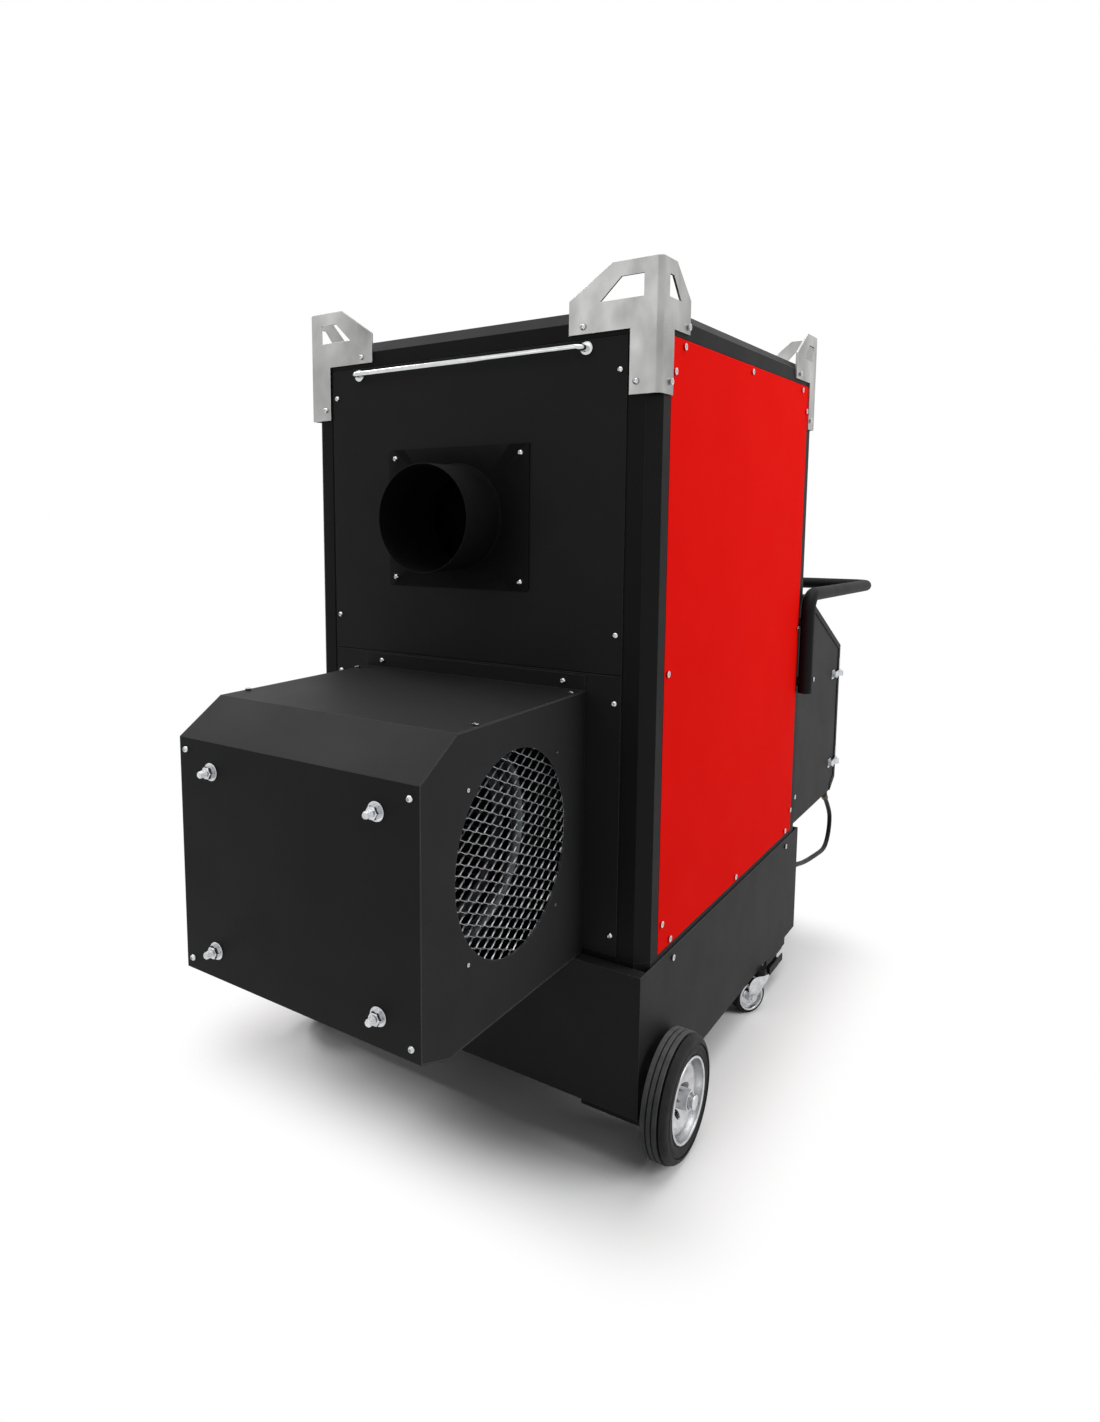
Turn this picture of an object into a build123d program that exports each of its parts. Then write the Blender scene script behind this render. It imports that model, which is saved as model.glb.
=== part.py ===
"""Mobile oil-fired air heater, built as separate named pieces.

Millimetres. X points to the heater's right side, Y from the fan end to the burner end, Z up from the
ground. The pieces are modelled with the cabinet's fan-end face at Y = 0 and its middle at X = 0, and are
moved along Y as they are written, so that the origin lies on the ground under the middle of the heater.
"""
from build123d import *
import math
import os

# Cabinet frame
cabinet_width = 760.0
cabinet_depth = 930.0
frame_bottom = 321.5
frame_top = 1500.0
profile_side = 50.0
profile_bevel = 22.0
profile_wall = 2.5
flange_width = 20.0
divider_height = 880.0
mid_rail_height = 40.0
mid_rail_depth = 20.0

# Cabinet panels
panel_sheet = 2.0
panel_proud = 0.5
panel_fold_depth = 15.0
panel_fold_clearance = 2.0
front_panel_gap = 5.0
panel_gap = 1.5
divider_gap = 3.0

# Flue and hot air connections
flue_x = -18.0
flue_z = 1150.0
flue_radius = 99.0
flue_wall = 1.5
flue_reach = 112.0
flue_plate_width = 319.0
flue_plate_height = 266.0
flue_plate_sheet = 3.0
flue_screw_inset = 17.0
outlet_z = 1199.5
outlet_radius = 224.0
outlet_wall = 1.5
outlet_reach = 90.0
outlet_flange = 22.0
duct_clearance = 2.0

# Lifting brackets
bracket_sheet = 4.0
bracket_bend = 9.0
bracket_bottom = 1351.0
bracket_wing_bottom = 1457.5
bracket_shoulder = 1514.0
bracket_top = 1566.0
bracket_leg = 54.0
long_wing = 166.0
long_wing_flat = 87.0
short_wing = 124.0
short_wing_flat = 60.0
eye_inner = 31.0
eye_bottom = 1506.0
eye_top = 1542.0
long_eye_top_reach = 71.0
long_eye_bottom_reach = 109.0
short_eye_top_reach = 48.0
short_eye_bottom_reach = 82.0

# Hanging rail on the fan-end panel
hang_rail_half = 251.5
hang_rail_z = 1434.0
hang_rail_radius = 5.0
hang_rail_standoff = 24.0
hang_rail_bend = 12.0
rosette_radius = 11.5
rosette_thickness = 5.0

# Fan box
fan_box_x = 7.0
fan_box_margin = 129.5
fan_box_depth = 488.0
fan_box_top = 847.5
fan_box_bottom = 364.0
fan_box_sheet = 2.0
top_bevel_depth = 91.0
top_bevel_height = 55.5
bottom_bevel_depth = 67.0
bottom_bevel_height = 24.0
fan_flange_height = 28.0
fan_y = -237.0
fan_z = 624.0
inlet_radius = 167.0
grille_sheet = 2.5
grille_rim = 28.0
mesh_cell_long = 43.5
mesh_cell_short = 18.2
mesh_strand = 2.4
mesh_edge = 4.0
rivet_offset = 134.0
rivet_radius = 3.2
rivet_height = 1.6
stud_half_x = 174.0
stud_half_z = 153.0
stud_mid_z = 590.0
stud_radius = 6.0
stud_stand_out = 26.0
stud_nut_flats = 19.0
stud_nut_height = 10.0
stud_washer_radius = 15.0
stud_washer_thickness = 2.5

# Fan
scroll_width = 300.0
scroll_sheet = 1.5
scroll_first_radius = 176.0
scroll_step = 16.0
scroll_lip_rise = 8.0
eye_radius = 156.0
wheel_radius = 160.0
wheel_inner_radius = 131.0
wheel_width = 256.0
blade_thickness = 1.6
blade_count = 30
blade_sweep = 9.0
wheel_ring = 4.0
wheel_disc = 4.0
hub_radius = 26.0
hub_motor_side = 12.0
hub_far_side = 32.0
shaft_radius = 10.0
running_gap = 0.05
shaft_end_gap = 1.0
motor_radius = 66.0
motor_length = 96.0
motor_fin_count = 16
motor_fin_height = 5.0
motor_fin_width = 3.0
motor_to_disc = 18.0
motor_arm_width = 24.0
motor_arm_thickness = 5.0
motor_ring_width = 14.0
motor_ring_lap = 8.0
cone_sheet = 1.5
cone_reach = 18.0
cone_flare = 7.0
cone_rim = 5.0
cone_foot = 10.0

# Heat system
chamber_radius = 180.0
chamber_wall = 3.0
chamber_z = 640.0
chamber_front = 150.0
chamber_rear = 790.0
chamber_dome = 60.0
neck_radius = 95.0
burner_hole_radius = 70.0
exchanger_half_width = 215.0
exchanger_bottom = 880.0
exchanger_top = 1320.0
header_depth = 70.0
front_header_y = 60.0
rear_header_y = 720.0
header_wall = 2.5
exchanger_tube_radius = 28.0
exchanger_tube_wall = 2.0
tube_columns = 4
tube_rows = 3
tube_pitch_x = 96.0
tube_pitch_z = 128.0
riser_half_width = 80.0
riser_gap = 0.3

# Burner
burner_flange_side = 170.0
burner_flange_thickness = 8.0
blast_tube_radius = 55.0
blast_tube_wall = 2.0
blast_tube_reach = 150.0
burner_neck_length = 50.0
burner_neck_radius = 51.0
volute_radius = 112.0
volute_width = 104.0
volute_offset = 60.0
burner_cap_height = 42.0
burner_motor_radius = 50.0
burner_motor_length = 96.0
burner_pump_radius = 26.0
burner_pump_length = 46.0

# Burner box
burner_box_inset = 12.0
burner_box_depth = 446.0
burner_box_bottom = 362.0
burner_box_top = 950.0
burner_box_sheet = 2.0
burner_box_flat = 78.0
burner_box_slope_drop = 172.0
burner_box_toe_depth = 50.0
burner_box_toe_height = 30.0
burner_box_flange = 60.0
cover_return = 15.0
cover_gap = 0.3

# Draw latches
latch_z_upper = 702.0
latch_z_lower = 446.0
latch_plate_length = 42.0
latch_plate_height = 24.0
latch_plate_thickness = 2.0
latch_back = 62.0
latch_pivot_stand = 7.0
latch_pin_radius = 2.0
latch_ear_thickness = 2.0
latch_lever_height = 15.0
latch_lever_length = 34.0
latch_lever_thickness = 2.0
latch_prong_height = 3.0
latch_side_gap = 0.4
keeper_rise = 40.0

# Push handle
handle_radius = 16.0
handle_stand = 2.0
handle_leg_y = 893.0
handle_leg_bottom = 718.0
handle_top = 958.0
handle_end_y = 1553.0
handle_end_z = 940.0
handle_bend = 46.0
handle_pad_radius = 11.0
handle_pad_low = 745.0
handle_pad_high = 890.0

# Base with the fuel tank
base_overhang = 3.0
base_front = 26.0
base_rear = 13.0
base_bottom = 98.0
base_top = 361.5
base_sheet = 2.5
base_ledge = 36.0
tank_side_clearance = 18.0
tank_end_clearance = 40.0
tank_top_clearance = 9.0
tank_wall = 5.0
tank_corner = 25.0
filler_y = 800.0
filler_z = 296.0
filler_radius = 20.0
filler_wall = 4.0
filler_reach = 42.0
filler_hole_clearance = 2.0
cap_radius = 25.0
cap_height = 18.0
cap_wall = 3.0
cap_gap = 0.4

# Front wheels
wheel_y = 60.0
tyre_radius = 115.0
tyre_width = 48.0
tyre_shoulder = 11.0
groove_depth = 2.5
groove_width = 3.0
groove_pitch = 9.0
rim_lip_radius = 77.0
rim_lip_width = 2.0
rim_well_radius = 73.0
rim_sheet = 2.5
rim_disc_offset = 4.0
rim_disc_rise = 6.0
rim_hole_radius = 9.0
rim_hole_circle = 48.0
road_hub_radius = 21.0
road_hub_half = 13.0
road_axle_radius = 10.0
wheel_side_gap = 13.0
wheel_bracket_sheet = 6.0
wheel_bracket_foot = 11.0
wheel_bracket_front = 22.0
wheel_bracket_rear = 150.0
wheel_bracket_width = 111.0
wheel_bracket_side_half = 40.0
wheel_bracket_rise = 64.0
axle_boss_radius = 17.0
axle_cap_radius = 14.0
axle_cap_length = 9.0
axle_end_gap = 0.5

# Rear castors
castor_inset = 6.0
castor_y = 664.0
castor_turn = 30.0
castor_trail = 28.0
castor_radius = 40.0
castor_tread = 30.0
castor_tread_corner = 4.0
castor_rim_radius = 34.0
castor_rim_sheet = 3.0
castor_web = 8.0
castor_hub_radius = 12.0
castor_hub_half = 17.0
castor_bolt_radius = 5.0
castor_bolt_head_radius = 8.0
castor_bolt_head = 5.0
fork_sheet = 2.5
fork_gap = 0.5
fork_leg_end = 12.0
fork_crown_radius = 22.0
fork_crown_half = 18.0
fork_edge_drop = 8.0
fork_shoulder_drop = 21.0
fork_wheel_gap = 4.5
castor_head_radius = 20.0
castor_pin_radius = 6.0
castor_nut_radius = 9.0
castor_nut_height = 2.0

# Rear edge channels
channel_front = 724.0
channel_rear = 872.0
channel_depth = 21.0
channel_width = 60.0
channel_sheet = 2.5
skid_front = 748.0
skid_rear = 850.0
skid_depth = 32.0
skid_inset = 14.0
skid_lip = 17.0

# Fuel hose
hose_radius = 6.0
hose_inset = 12.0
hose_union_radius = 9.0
hose_union_length = 14.0
hose_elbow_y = 1311.0
hose_elbow_z = 351.0
hose_elbow_branch = 20.0
hose_elbow_turn = 50.0
hose_first_run = 80.0
hose_loop_run = 44.7
hose_loop_turn = 36.5
hose_base_z = 232.0
hose_low_run = 85.0
hose_low_rise = 9.0
hose_mid_run = 221.0
hose_mid_rise = 27.0
hose_end_run = 325.0

# Screws
screw_head_radius = 5.9
screw_head_height = 3.8
panel_screw_inset = 12.0
upper_screw_drop = 55.0
upper_screw_rise = 68.0
lower_screw_drop = 48.0
lower_screw_rise = 38.0
side_screw_run = 40.0
side_screw_rise = 42.0
side_screw_drop = 45.0
fan_screw_inset = 16.0
fan_screw_bevel_gap = 20.0
fan_flange_screw_inset = 43.0
fan_top_screw_inset = 8.0
fan_top_screw_front = 340.0
fan_top_screw_rear = 40.0
base_screw_drop = 17.0
base_screw_front = 116.0
base_screw_rear = 99.0
wing_screw_rise = 12.0
leg_screw_rise = 21.0
leg_screw_inset = 12.0
long_wing_screw_inset = 27.0
short_wing_screw_inset = 9.0
box_screw_high_back = 129.5
box_screw_high_drop = 90.0
box_screw_mid_back = 162.0
box_screw_mid_drop = 230.5
box_screw_low_back = 28.5
box_screw_low_rise = 72.0

# Places worked out from the sizes above
half_width = cabinet_width / 2
rebate = panel_sheet - panel_proud
pillar_low = frame_bottom + profile_side
pillar_high = frame_top - profile_side
fold_inset = flange_width + panel_fold_clearance
box_half = half_width - fan_box_margin
box_right = fan_box_x + box_half
box_left = fan_box_x - box_half
scroll_half = scroll_width / 2
rear_face = cabinet_depth + panel_proud
base_half_width = half_width + base_overhang
wheel_bracket_inner = base_half_width - wheel_bracket_width
castor_x = base_half_width - castor_inset
burner_box_half = half_width - burner_box_inset
hose_x = burner_box_half - hose_inset
box_rear = rear_face + burner_box_depth
cover_top_y = rear_face + burner_box_flat
handle_x = half_width + handle_stand + handle_radius
road_wheel_x = base_half_width + wheel_side_gap + tyre_width / 2
front_reach = fan_box_depth + stud_stand_out
rear_reach = handle_end_y + handle_radius
move_y = (front_reach - rear_reach) / 2

nodes = {}


def box_between(x0, x1, y0, y1, z0, z1):
    """Block given by its two ends along each axis."""
    centre = Pos((x0 + x1) / 2, (y0 + y1) / 2, (z0 + z1) / 2)
    return centre * Box(x1 - x0, y1 - y0, z1 - z0)


def plate_yz(face, x0, x1):
    """Outline drawn as (y, z), as thick as from x0 to x1."""
    return extrude(Plane.YZ.offset(x0) * face, amount=x1 - x0)


def plate_xz(face, y0, y1):
    """Outline drawn as (x, z), as thick as from y0 to y1."""
    return extrude(Plane.XZ.offset(-y1) * face, amount=y1 - y0)


def plate_xy(face, z0, z1):
    """Outline drawn as (x, y), as thick as from z0 to z1."""
    return extrude(Plane.XY.offset(z0) * face, amount=z1 - z0)


def outline(*points):
    """Closed face through corner points."""
    return make_face(Polyline(*points, close=True))


def rod_x(x0, x1, y, z, radius):
    """Round bar along X."""
    return plate_yz(Pos(y, z) * Circle(radius), x0, x1)


def rod_y(y0, y1, x, z, radius):
    """Round bar along Y."""
    return plate_xz(Pos(x, z) * Circle(radius), y0, y1)


def rod_z(z0, z1, x, y, radius):
    """Round bar along Z."""
    return plate_xy(Pos(x, y) * Circle(radius), z0, z1)


def mirror_left(shape):
    """The same piece on the other side of the heater."""
    return mirror(shape, about=Plane.YZ)


def mirror_rear(shape):
    """The same piece at the other end of the cabinet."""
    return mirror(shape, about=Plane.XZ.offset(-cabinet_depth / 2))


def group(shapes):
    """Several loose solids kept as one node."""
    solids = []
    for shape in shapes:
        solids.extend(shape.solids())
    return Compound(solids)


def profile_block():
    """Frame profile without its flanges: a square with its outer corner, at 0, 0, cut at 45 degrees."""
    return outline(
        (-profile_bevel, 0), (-profile_side, 0), (-profile_side, profile_side),
        (0, profile_side), (0, profile_bevel))


def profile_bar(length, flange_inset):
    """Hollow frame profile along +Z, outer corner at the origin, with two flanges behind the panels."""
    block = profile_block()
    hollow = offset(block, amount=-profile_wall, kind=Kind.INTERSECTION)
    tube = extrude(block - hollow, amount=length)
    reach = profile_side + flange_width
    flange_length = length - 2 * flange_inset
    across = box_between(-reach, -profile_side, rebate, rebate + profile_wall, 0, flange_length)
    along = box_between(-rebate - profile_wall, -rebate, profile_side, reach, 0, flange_length)
    lift = Pos(0, 0, flange_inset)
    return tube + lift * across + lift * along


def make_pillars():
    """Four bevelled corner pillars."""
    bar = profile_bar(pillar_high - pillar_low, 0)
    right_front = Pos(half_width, 0, pillar_low) * bar
    right_rear = mirror_rear(right_front)
    pillars = [right_front, right_rear, mirror_left(right_front), mirror_left(right_rear)]
    return group(pillars)


def make_rails():
    """Top and bottom rings of the frame and the cross rail between the two fan-end panels."""
    along_x = profile_bar(cabinet_width - 2 * profile_side, flange_width)
    along_y = profile_bar(cabinet_depth - 2 * profile_side, flange_width)
    front_start = (-half_width + profile_side, 0, frame_top)
    front_bar_place = Plane(origin=front_start, x_dir=(0, -1, 0), z_dir=(1, 0, 0))
    side_place = Plane(origin=(half_width, profile_side, frame_top), x_dir=(1, 0, 0), z_dir=(0, 1, 0))
    front = front_bar_place * along_x
    side = side_place * along_y
    top = [front, mirror_rear(front), side, mirror_left(side)]
    middle = Plane.XY.offset((frame_top + frame_bottom) / 2)
    bottom = [mirror(rail, about=middle) for rail in top]
    inner = half_width - profile_side
    back = rebate + mid_rail_depth
    low = divider_height - mid_rail_height / 2
    high = divider_height + mid_rail_height / 2
    cross = box_between(-inner, inner, rebate, back, low, high)
    hollow_front = rebate + profile_wall
    cross -= box_between(-inner, inner, hollow_front, back, low + profile_wall, high - profile_wall)
    pillar_flange = inner - flange_width
    notch = box_between(pillar_flange, inner, rebate, rebate + profile_wall, low, high)
    cross -= notch
    cross -= mirror_left(notch)
    return group(top + bottom + [cross])


def make_corners():
    """Eight three-way corner blocks with the profile's bevel on their three outer edges."""
    block = profile_block()
    upright = Pos(half_width, 0, pillar_high) * extrude(block, amount=profile_side)
    front_start = (half_width - profile_side, 0, frame_top)
    front_bar_place = Plane(origin=front_start, x_dir=(0, -1, 0), z_dir=(1, 0, 0))
    side_place = Plane(origin=(half_width, 0, frame_top), x_dir=(1, 0, 0), z_dir=(0, 1, 0))
    crossing = front_bar_place * extrude(block, amount=profile_side)
    sideways = side_place * extrude(block, amount=profile_side)
    corner = upright & crossing & sideways
    middle = Plane.XY.offset((frame_top + frame_bottom) / 2)
    front_pair = [corner, mirror(corner, about=middle)]
    right = front_pair + [mirror_rear(piece) for piece in front_pair]
    return group(right + [mirror_left(piece) for piece in right])


def folded_panel(width, height):
    """Flat sheet panel, outer face at Z = 0, with a folded rim behind it clear of the frame flanges."""
    sheet = Pos(0, 0, -panel_sheet / 2) * Box(width, height, panel_sheet)
    rim_width = width - 2 * fold_inset
    rim_height = height - 2 * fold_inset
    rim = Rectangle(rim_width, rim_height)
    rim -= Rectangle(rim_width - 2 * panel_sheet, rim_height - 2 * panel_sheet)
    fold = extrude(Plane.XY.offset(-panel_sheet - panel_fold_depth) * rim, amount=panel_fold_depth)
    return sheet + fold


front_panel_width = cabinet_width - 2 * profile_side - 2 * front_panel_gap
front_low = pillar_low + panel_gap
front_high = pillar_high - panel_gap
divide_low = divider_height - divider_gap / 2
divide_high = divider_height + divider_gap / 2


def front_place(z):
    """Plane on the fan-end face of the panels, looking out of the cabinet."""
    return Plane(origin=(0, -panel_proud, z), x_dir=(1, 0, 0), z_dir=(0, -1, 0))


def make_front_upper():
    """Upper fan-end panel with the hole for the flue."""
    height = front_high - divide_high
    panel = front_place((front_high + divide_high) / 2) * folded_panel(front_panel_width, height)
    hole = rod_y(-panel_sheet, panel_sheet * 2, flue_x, flue_z, flue_radius + duct_clearance)
    return panel - hole


def scroll_mouth_low():
    """Height of the floor of the fan's outlet throat."""
    return fan_z - scroll_step / 2 - scroll_first_radius - 2 * scroll_step


def make_front_lower():
    """Lower fan-end panel with the opening that the fan blows through."""
    height = divide_low - front_low
    panel = front_place((divide_low + front_low) / 2) * folded_panel(front_panel_width, height)
    low = scroll_mouth_low() + scroll_sheet
    high = fan_z + scroll_lip_rise - scroll_sheet
    half = scroll_half - scroll_sheet
    opening = box_between(fan_box_x - half, fan_box_x + half, -panel_sheet, panel_sheet * 2, low, high)
    return panel - opening


def make_side_panel():
    """Right-hand side panel."""
    width = cabinet_depth - 2 * profile_side - 2 * panel_gap
    height = pillar_high - pillar_low - 2 * panel_gap
    middle_z = (pillar_high + pillar_low) / 2
    middle = (half_width + panel_proud, cabinet_depth / 2, middle_z)
    place = Plane(origin=middle, x_dir=(0, 1, 0), z_dir=(1, 0, 0))
    return place * folded_panel(width, height)


def make_rear_panel():
    """Burner-end panel with the hot air hole and the burner hole."""
    height = pillar_high - pillar_low - 2 * panel_gap
    middle_z = (pillar_high + pillar_low) / 2
    place = Plane(origin=(0, rear_face, middle_z), x_dir=(-1, 0, 0), z_dir=(0, 1, 0))
    panel = place * folded_panel(front_panel_width, height)
    start = cabinet_depth - panel_fold_depth
    outlet = rod_y(start, rear_face + panel_sheet, 0, outlet_z, outlet_radius - outlet_wall)
    burner = rod_y(start, rear_face + panel_sheet, 0, chamber_z, burner_hole_radius)
    return panel - outlet - burner


def make_level_panel():
    """Top panel."""
    width = cabinet_width - 2 * profile_side - 2 * panel_gap
    depth = cabinet_depth - 2 * profile_side - 2 * panel_gap
    return Pos(0, cabinet_depth / 2, frame_top + panel_proud) * folded_panel(width, depth)


def make_floor_panel():
    """Floor of the cabinet."""
    return mirror(make_level_panel(), about=Plane.XY.offset((frame_top + frame_bottom) / 2))


def make_flue_spigot():
    """Flue connection: a square-cornered plate with a round tube welded through it."""
    back = -panel_proud
    front = back - flue_plate_sheet
    plate = plate_xz(Pos(flue_x, flue_z) * Rectangle(flue_plate_width, flue_plate_height), front, back)
    tube = rod_y(-flue_reach, back, flue_x, flue_z, flue_radius)
    weld_plane = Plane(origin=(flue_x, front, flue_z), x_dir=(1, 0, 0), z_dir=(0, -1, 0))
    weld = weld_plane * Cone(flue_radius + 3, flue_radius, 3, align=(Align.CENTER, Align.CENTER, Align.MIN))
    bore = rod_y(-flue_reach, back, flue_x, flue_z, flue_radius - flue_wall)
    return plate + tube + weld - bore


def make_outlet_spigot():
    """Hot air connection at the burner end: a flanged round tube with a rolled bead near its end."""
    start = rear_face
    end = rear_face + outlet_reach
    inner = outlet_radius - outlet_wall
    profile = outline(
        (inner, start), (outlet_radius + outlet_flange, start),
        (outlet_radius + outlet_flange, start + panel_sheet),
        (outlet_radius, start + panel_sheet), (outlet_radius, end), (inner, end))
    return Pos(0, 0, outlet_z) * revolve(profile, axis=Axis.Y)


def wing_face(reach, flat, eye_top_reach, eye_bottom_reach):
    """Side view of one wing of a lifting bracket, measured from its outer corner, with the eye cut out."""
    wing = outline(
        (0, bracket_bottom), (bracket_leg, bracket_bottom), (bracket_leg, bracket_wing_bottom),
        (reach, bracket_wing_bottom), (reach, bracket_shoulder), (flat, bracket_top), (0, bracket_top))
    eye = outline(
        (eye_inner, eye_bottom), (eye_bottom_reach, eye_bottom),
        (eye_top_reach, eye_top), (eye_inner, eye_top))
    return wing - eye


def make_lift_bracket():
    """Bent lifting bracket for the right-hand fan-end corner, the long wing on the fan-end face."""
    t = bracket_sheet
    path = outline(
        (t - long_wing, -t), (t, -t), (t, short_wing - t), (0, short_wing - t), (0, 0), (t - long_wing, 0))
    outer = path.vertices().sort_by_distance((t, -t, 0))[0]
    path = fillet(outer, bracket_bend)
    inner = path.vertices().sort_by_distance((0, 0, 0))[0]
    path = fillet(inner, bracket_bend - t)
    angle = plate_xy(path, bracket_bottom, bracket_top)
    long_face = wing_face(long_wing, long_wing_flat, long_eye_top_reach, long_eye_bottom_reach)
    short_face = wing_face(short_wing, short_wing_flat, short_eye_top_reach, short_eye_bottom_reach)
    long_prism = Pos(t, 0, 0) * plate_xz(mirror(long_face, about=Plane.YZ), -t, bracket_bend)
    short_prism = Pos(0, -t, 0) * plate_yz(short_face, -bracket_bend, t)
    return Pos(half_width, 0, 0) * (angle & (long_prism + short_prism))


def turn_to_rear(bracket):
    """Same bracket turned a quarter turn, its long wing on the side of the cabinet."""
    at_origin = Pos(-half_width, 0, 0) * bracket
    return Pos(half_width, cabinet_depth, 0) * Rot(0, 0, 90) * at_origin


def make_hang_rail():
    """Round rail bent back at both ends into round rosettes on the panel."""
    y = -panel_proud - hang_rail_standoff
    face = -panel_proud
    path = FilletPolyline(
        (-hang_rail_half, face, hang_rail_z), (-hang_rail_half, y, hang_rail_z),
        (hang_rail_half, y, hang_rail_z), (hang_rail_half, face, hang_rail_z), radius=hang_rail_bend)
    start = Plane(origin=path @ 0, z_dir=path % 0)
    rod = sweep(start * Circle(hang_rail_radius), path=path)
    rosette = rod_y(face - rosette_thickness, face, hang_rail_half, hang_rail_z, rosette_radius)
    return rod + rosette + mirror_left(rosette)


def fan_box_outline(inset=0.0):
    """Side view of the fan box, as (y, z), from the cabinet face forward."""
    back = -panel_proud
    face = outline(
        (back, fan_box_top), (top_bevel_depth - fan_box_depth, fan_box_top),
        (-fan_box_depth, fan_box_top - top_bevel_height),
        (-fan_box_depth, fan_box_bottom + bottom_bevel_height),
        (bottom_bevel_depth - fan_box_depth, fan_box_bottom), (back, fan_box_bottom))
    if inset:
        face = offset(face, amount=-inset, kind=Kind.INTERSECTION)
    return face


def make_fan_wrap():
    """Folded sheet that closes the fan box at the top, front and bottom, with a screw flange above it."""
    outer = plate_yz(fan_box_outline(), box_left, box_right)
    inner = plate_yz(fan_box_outline(fan_box_sheet), box_left, box_right)
    wrap = outer - inner
    back = -panel_proud
    mouth = box_between(
        box_left, box_right, back - fan_box_sheet, back,
        fan_box_bottom + fan_box_sheet, fan_box_top - fan_box_sheet)
    wrap -= mouth
    flange = box_between(
        box_left, box_right, back - fan_box_sheet, back, fan_box_top, fan_box_top + fan_flange_height)
    return wrap + flange


def make_fan_side():
    """Right-hand side plate of the fan box with the round inlet."""
    face = fan_box_outline(fan_box_sheet)
    back = -panel_proud
    strip = Pos(back - fan_box_sheet / 2, (fan_box_top + fan_box_bottom) / 2)
    face += strip * Rectangle(fan_box_sheet, fan_box_top - fan_box_bottom - 2 * fan_box_sheet)
    face -= Pos(fan_y, fan_z) * Circle(inlet_radius)
    return plate_yz(face, box_right - fan_box_sheet, box_right)


def mirror_fan(shape):
    """The same piece on the other side of the fan."""
    return mirror(shape, about=Plane.YZ.offset(fan_box_x))


def mesh_holes():
    """Diamond openings of the expanded sheet, as one sketch, all of them inside the round inlet."""
    half_long = mesh_cell_long / 2
    half_short = mesh_cell_short / 2
    strand_angle = math.atan2(mesh_cell_short, mesh_cell_long)
    trim_long = mesh_strand / 2 / math.sin(strand_angle)
    trim_short = mesh_strand / 2 / math.cos(strand_angle)
    diamond = outline(
        (half_long - trim_long, 0), (0, half_short - trim_short),
        (trim_long - half_long, 0), (0, trim_short - half_short))
    holes = []
    columns = int(inlet_radius / half_long) + 1
    rows = int(inlet_radius / half_short) + 1
    for column in range(-columns, columns + 1):
        for row in range(-rows, rows + 1):
            away = math.hypot(column * half_long, row * half_short)
            if (column + row) % 2 == 0 and away < inlet_radius + half_long:
                holes.append(Pos(column * half_long, row * half_short) * diamond)
    limit = Circle(inlet_radius - mesh_edge)
    return Sketch() + holes & limit


def make_grille():
    """Round expanded metal grille behind the right-hand inlet."""
    face = Circle(inlet_radius + grille_rim) - mesh_holes()
    inner = box_right - fan_box_sheet
    return plate_yz(Pos(fan_y, fan_z) * face, inner - grille_sheet, inner)


def scroll_face(inset=0.0):
    """Spiral side view of the fan housing with its outlet throat, as (y, z)."""
    s = scroll_step
    first = scroll_first_radius - inset
    second = first + s
    third = second + s
    lip = scroll_lip_rise - inset
    lip_start = math.degrees(math.asin((lip - s / 2) / first))
    throat = -panel_proud - fan_y
    arc_one = CenterArc((-s / 2, s / 2), first, lip_start, 90 - lip_start)
    arc_two = CenterArc((-s / 2, -s / 2), second, 90, 90)
    arc_three = CenterArc((s / 2, -s / 2), third, 180, 90)
    floor = Line(arc_three @ 1, (throat, -s / 2 - third))
    mouth = Line(floor @ 1, (throat, lip))
    roof = Line(mouth @ 1, arc_one @ 0)
    return make_face(Curve() + [arc_one, arc_two, arc_three, floor, mouth, roof])


def make_scroll():
    """Sheet metal fan housing: a spiral wrap between two side plates with round eyes."""
    place = Pos(fan_y, fan_z)
    low = fan_box_x - scroll_half
    high = fan_box_x + scroll_half
    housing = plate_yz(place * scroll_face(), low, high)
    housing -= plate_yz(place * scroll_face(scroll_sheet), low + scroll_sheet, high - scroll_sheet)
    return housing - rod_x(low, high, fan_y, fan_z, eye_radius)


def make_inlet_cone():
    """Flared inlet ring with a rolled lip and a flat foot, on the right-hand side of the scroll."""
    start = fan_box_x + scroll_half
    end = start + cone_reach
    t = cone_sheet
    throat = eye_radius
    mouth = throat + cone_flare
    foot = throat + cone_foot
    inner = ThreePointArc((start, throat), (start + cone_reach / 2, throat + cone_flare / 4), (end, mouth))
    lip = Polyline((end, mouth), (end, mouth + cone_rim), (end - t, mouth + cone_rim), (end - t, mouth + t))
    waist = (start + cone_reach / 2 - t / 2, throat + cone_flare / 4 + t)
    outer = ThreePointArc((end - t, mouth + t), waist, (start + t, throat + 2 * t))
    base = Polyline((start + t, throat + 2 * t), (start + t, foot), (start, foot), (start, throat))
    profile = make_face(Curve() + [inner, lip, outer, base])
    return Pos(0, fan_y, fan_z) * revolve(profile, axis=Axis.X)


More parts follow.
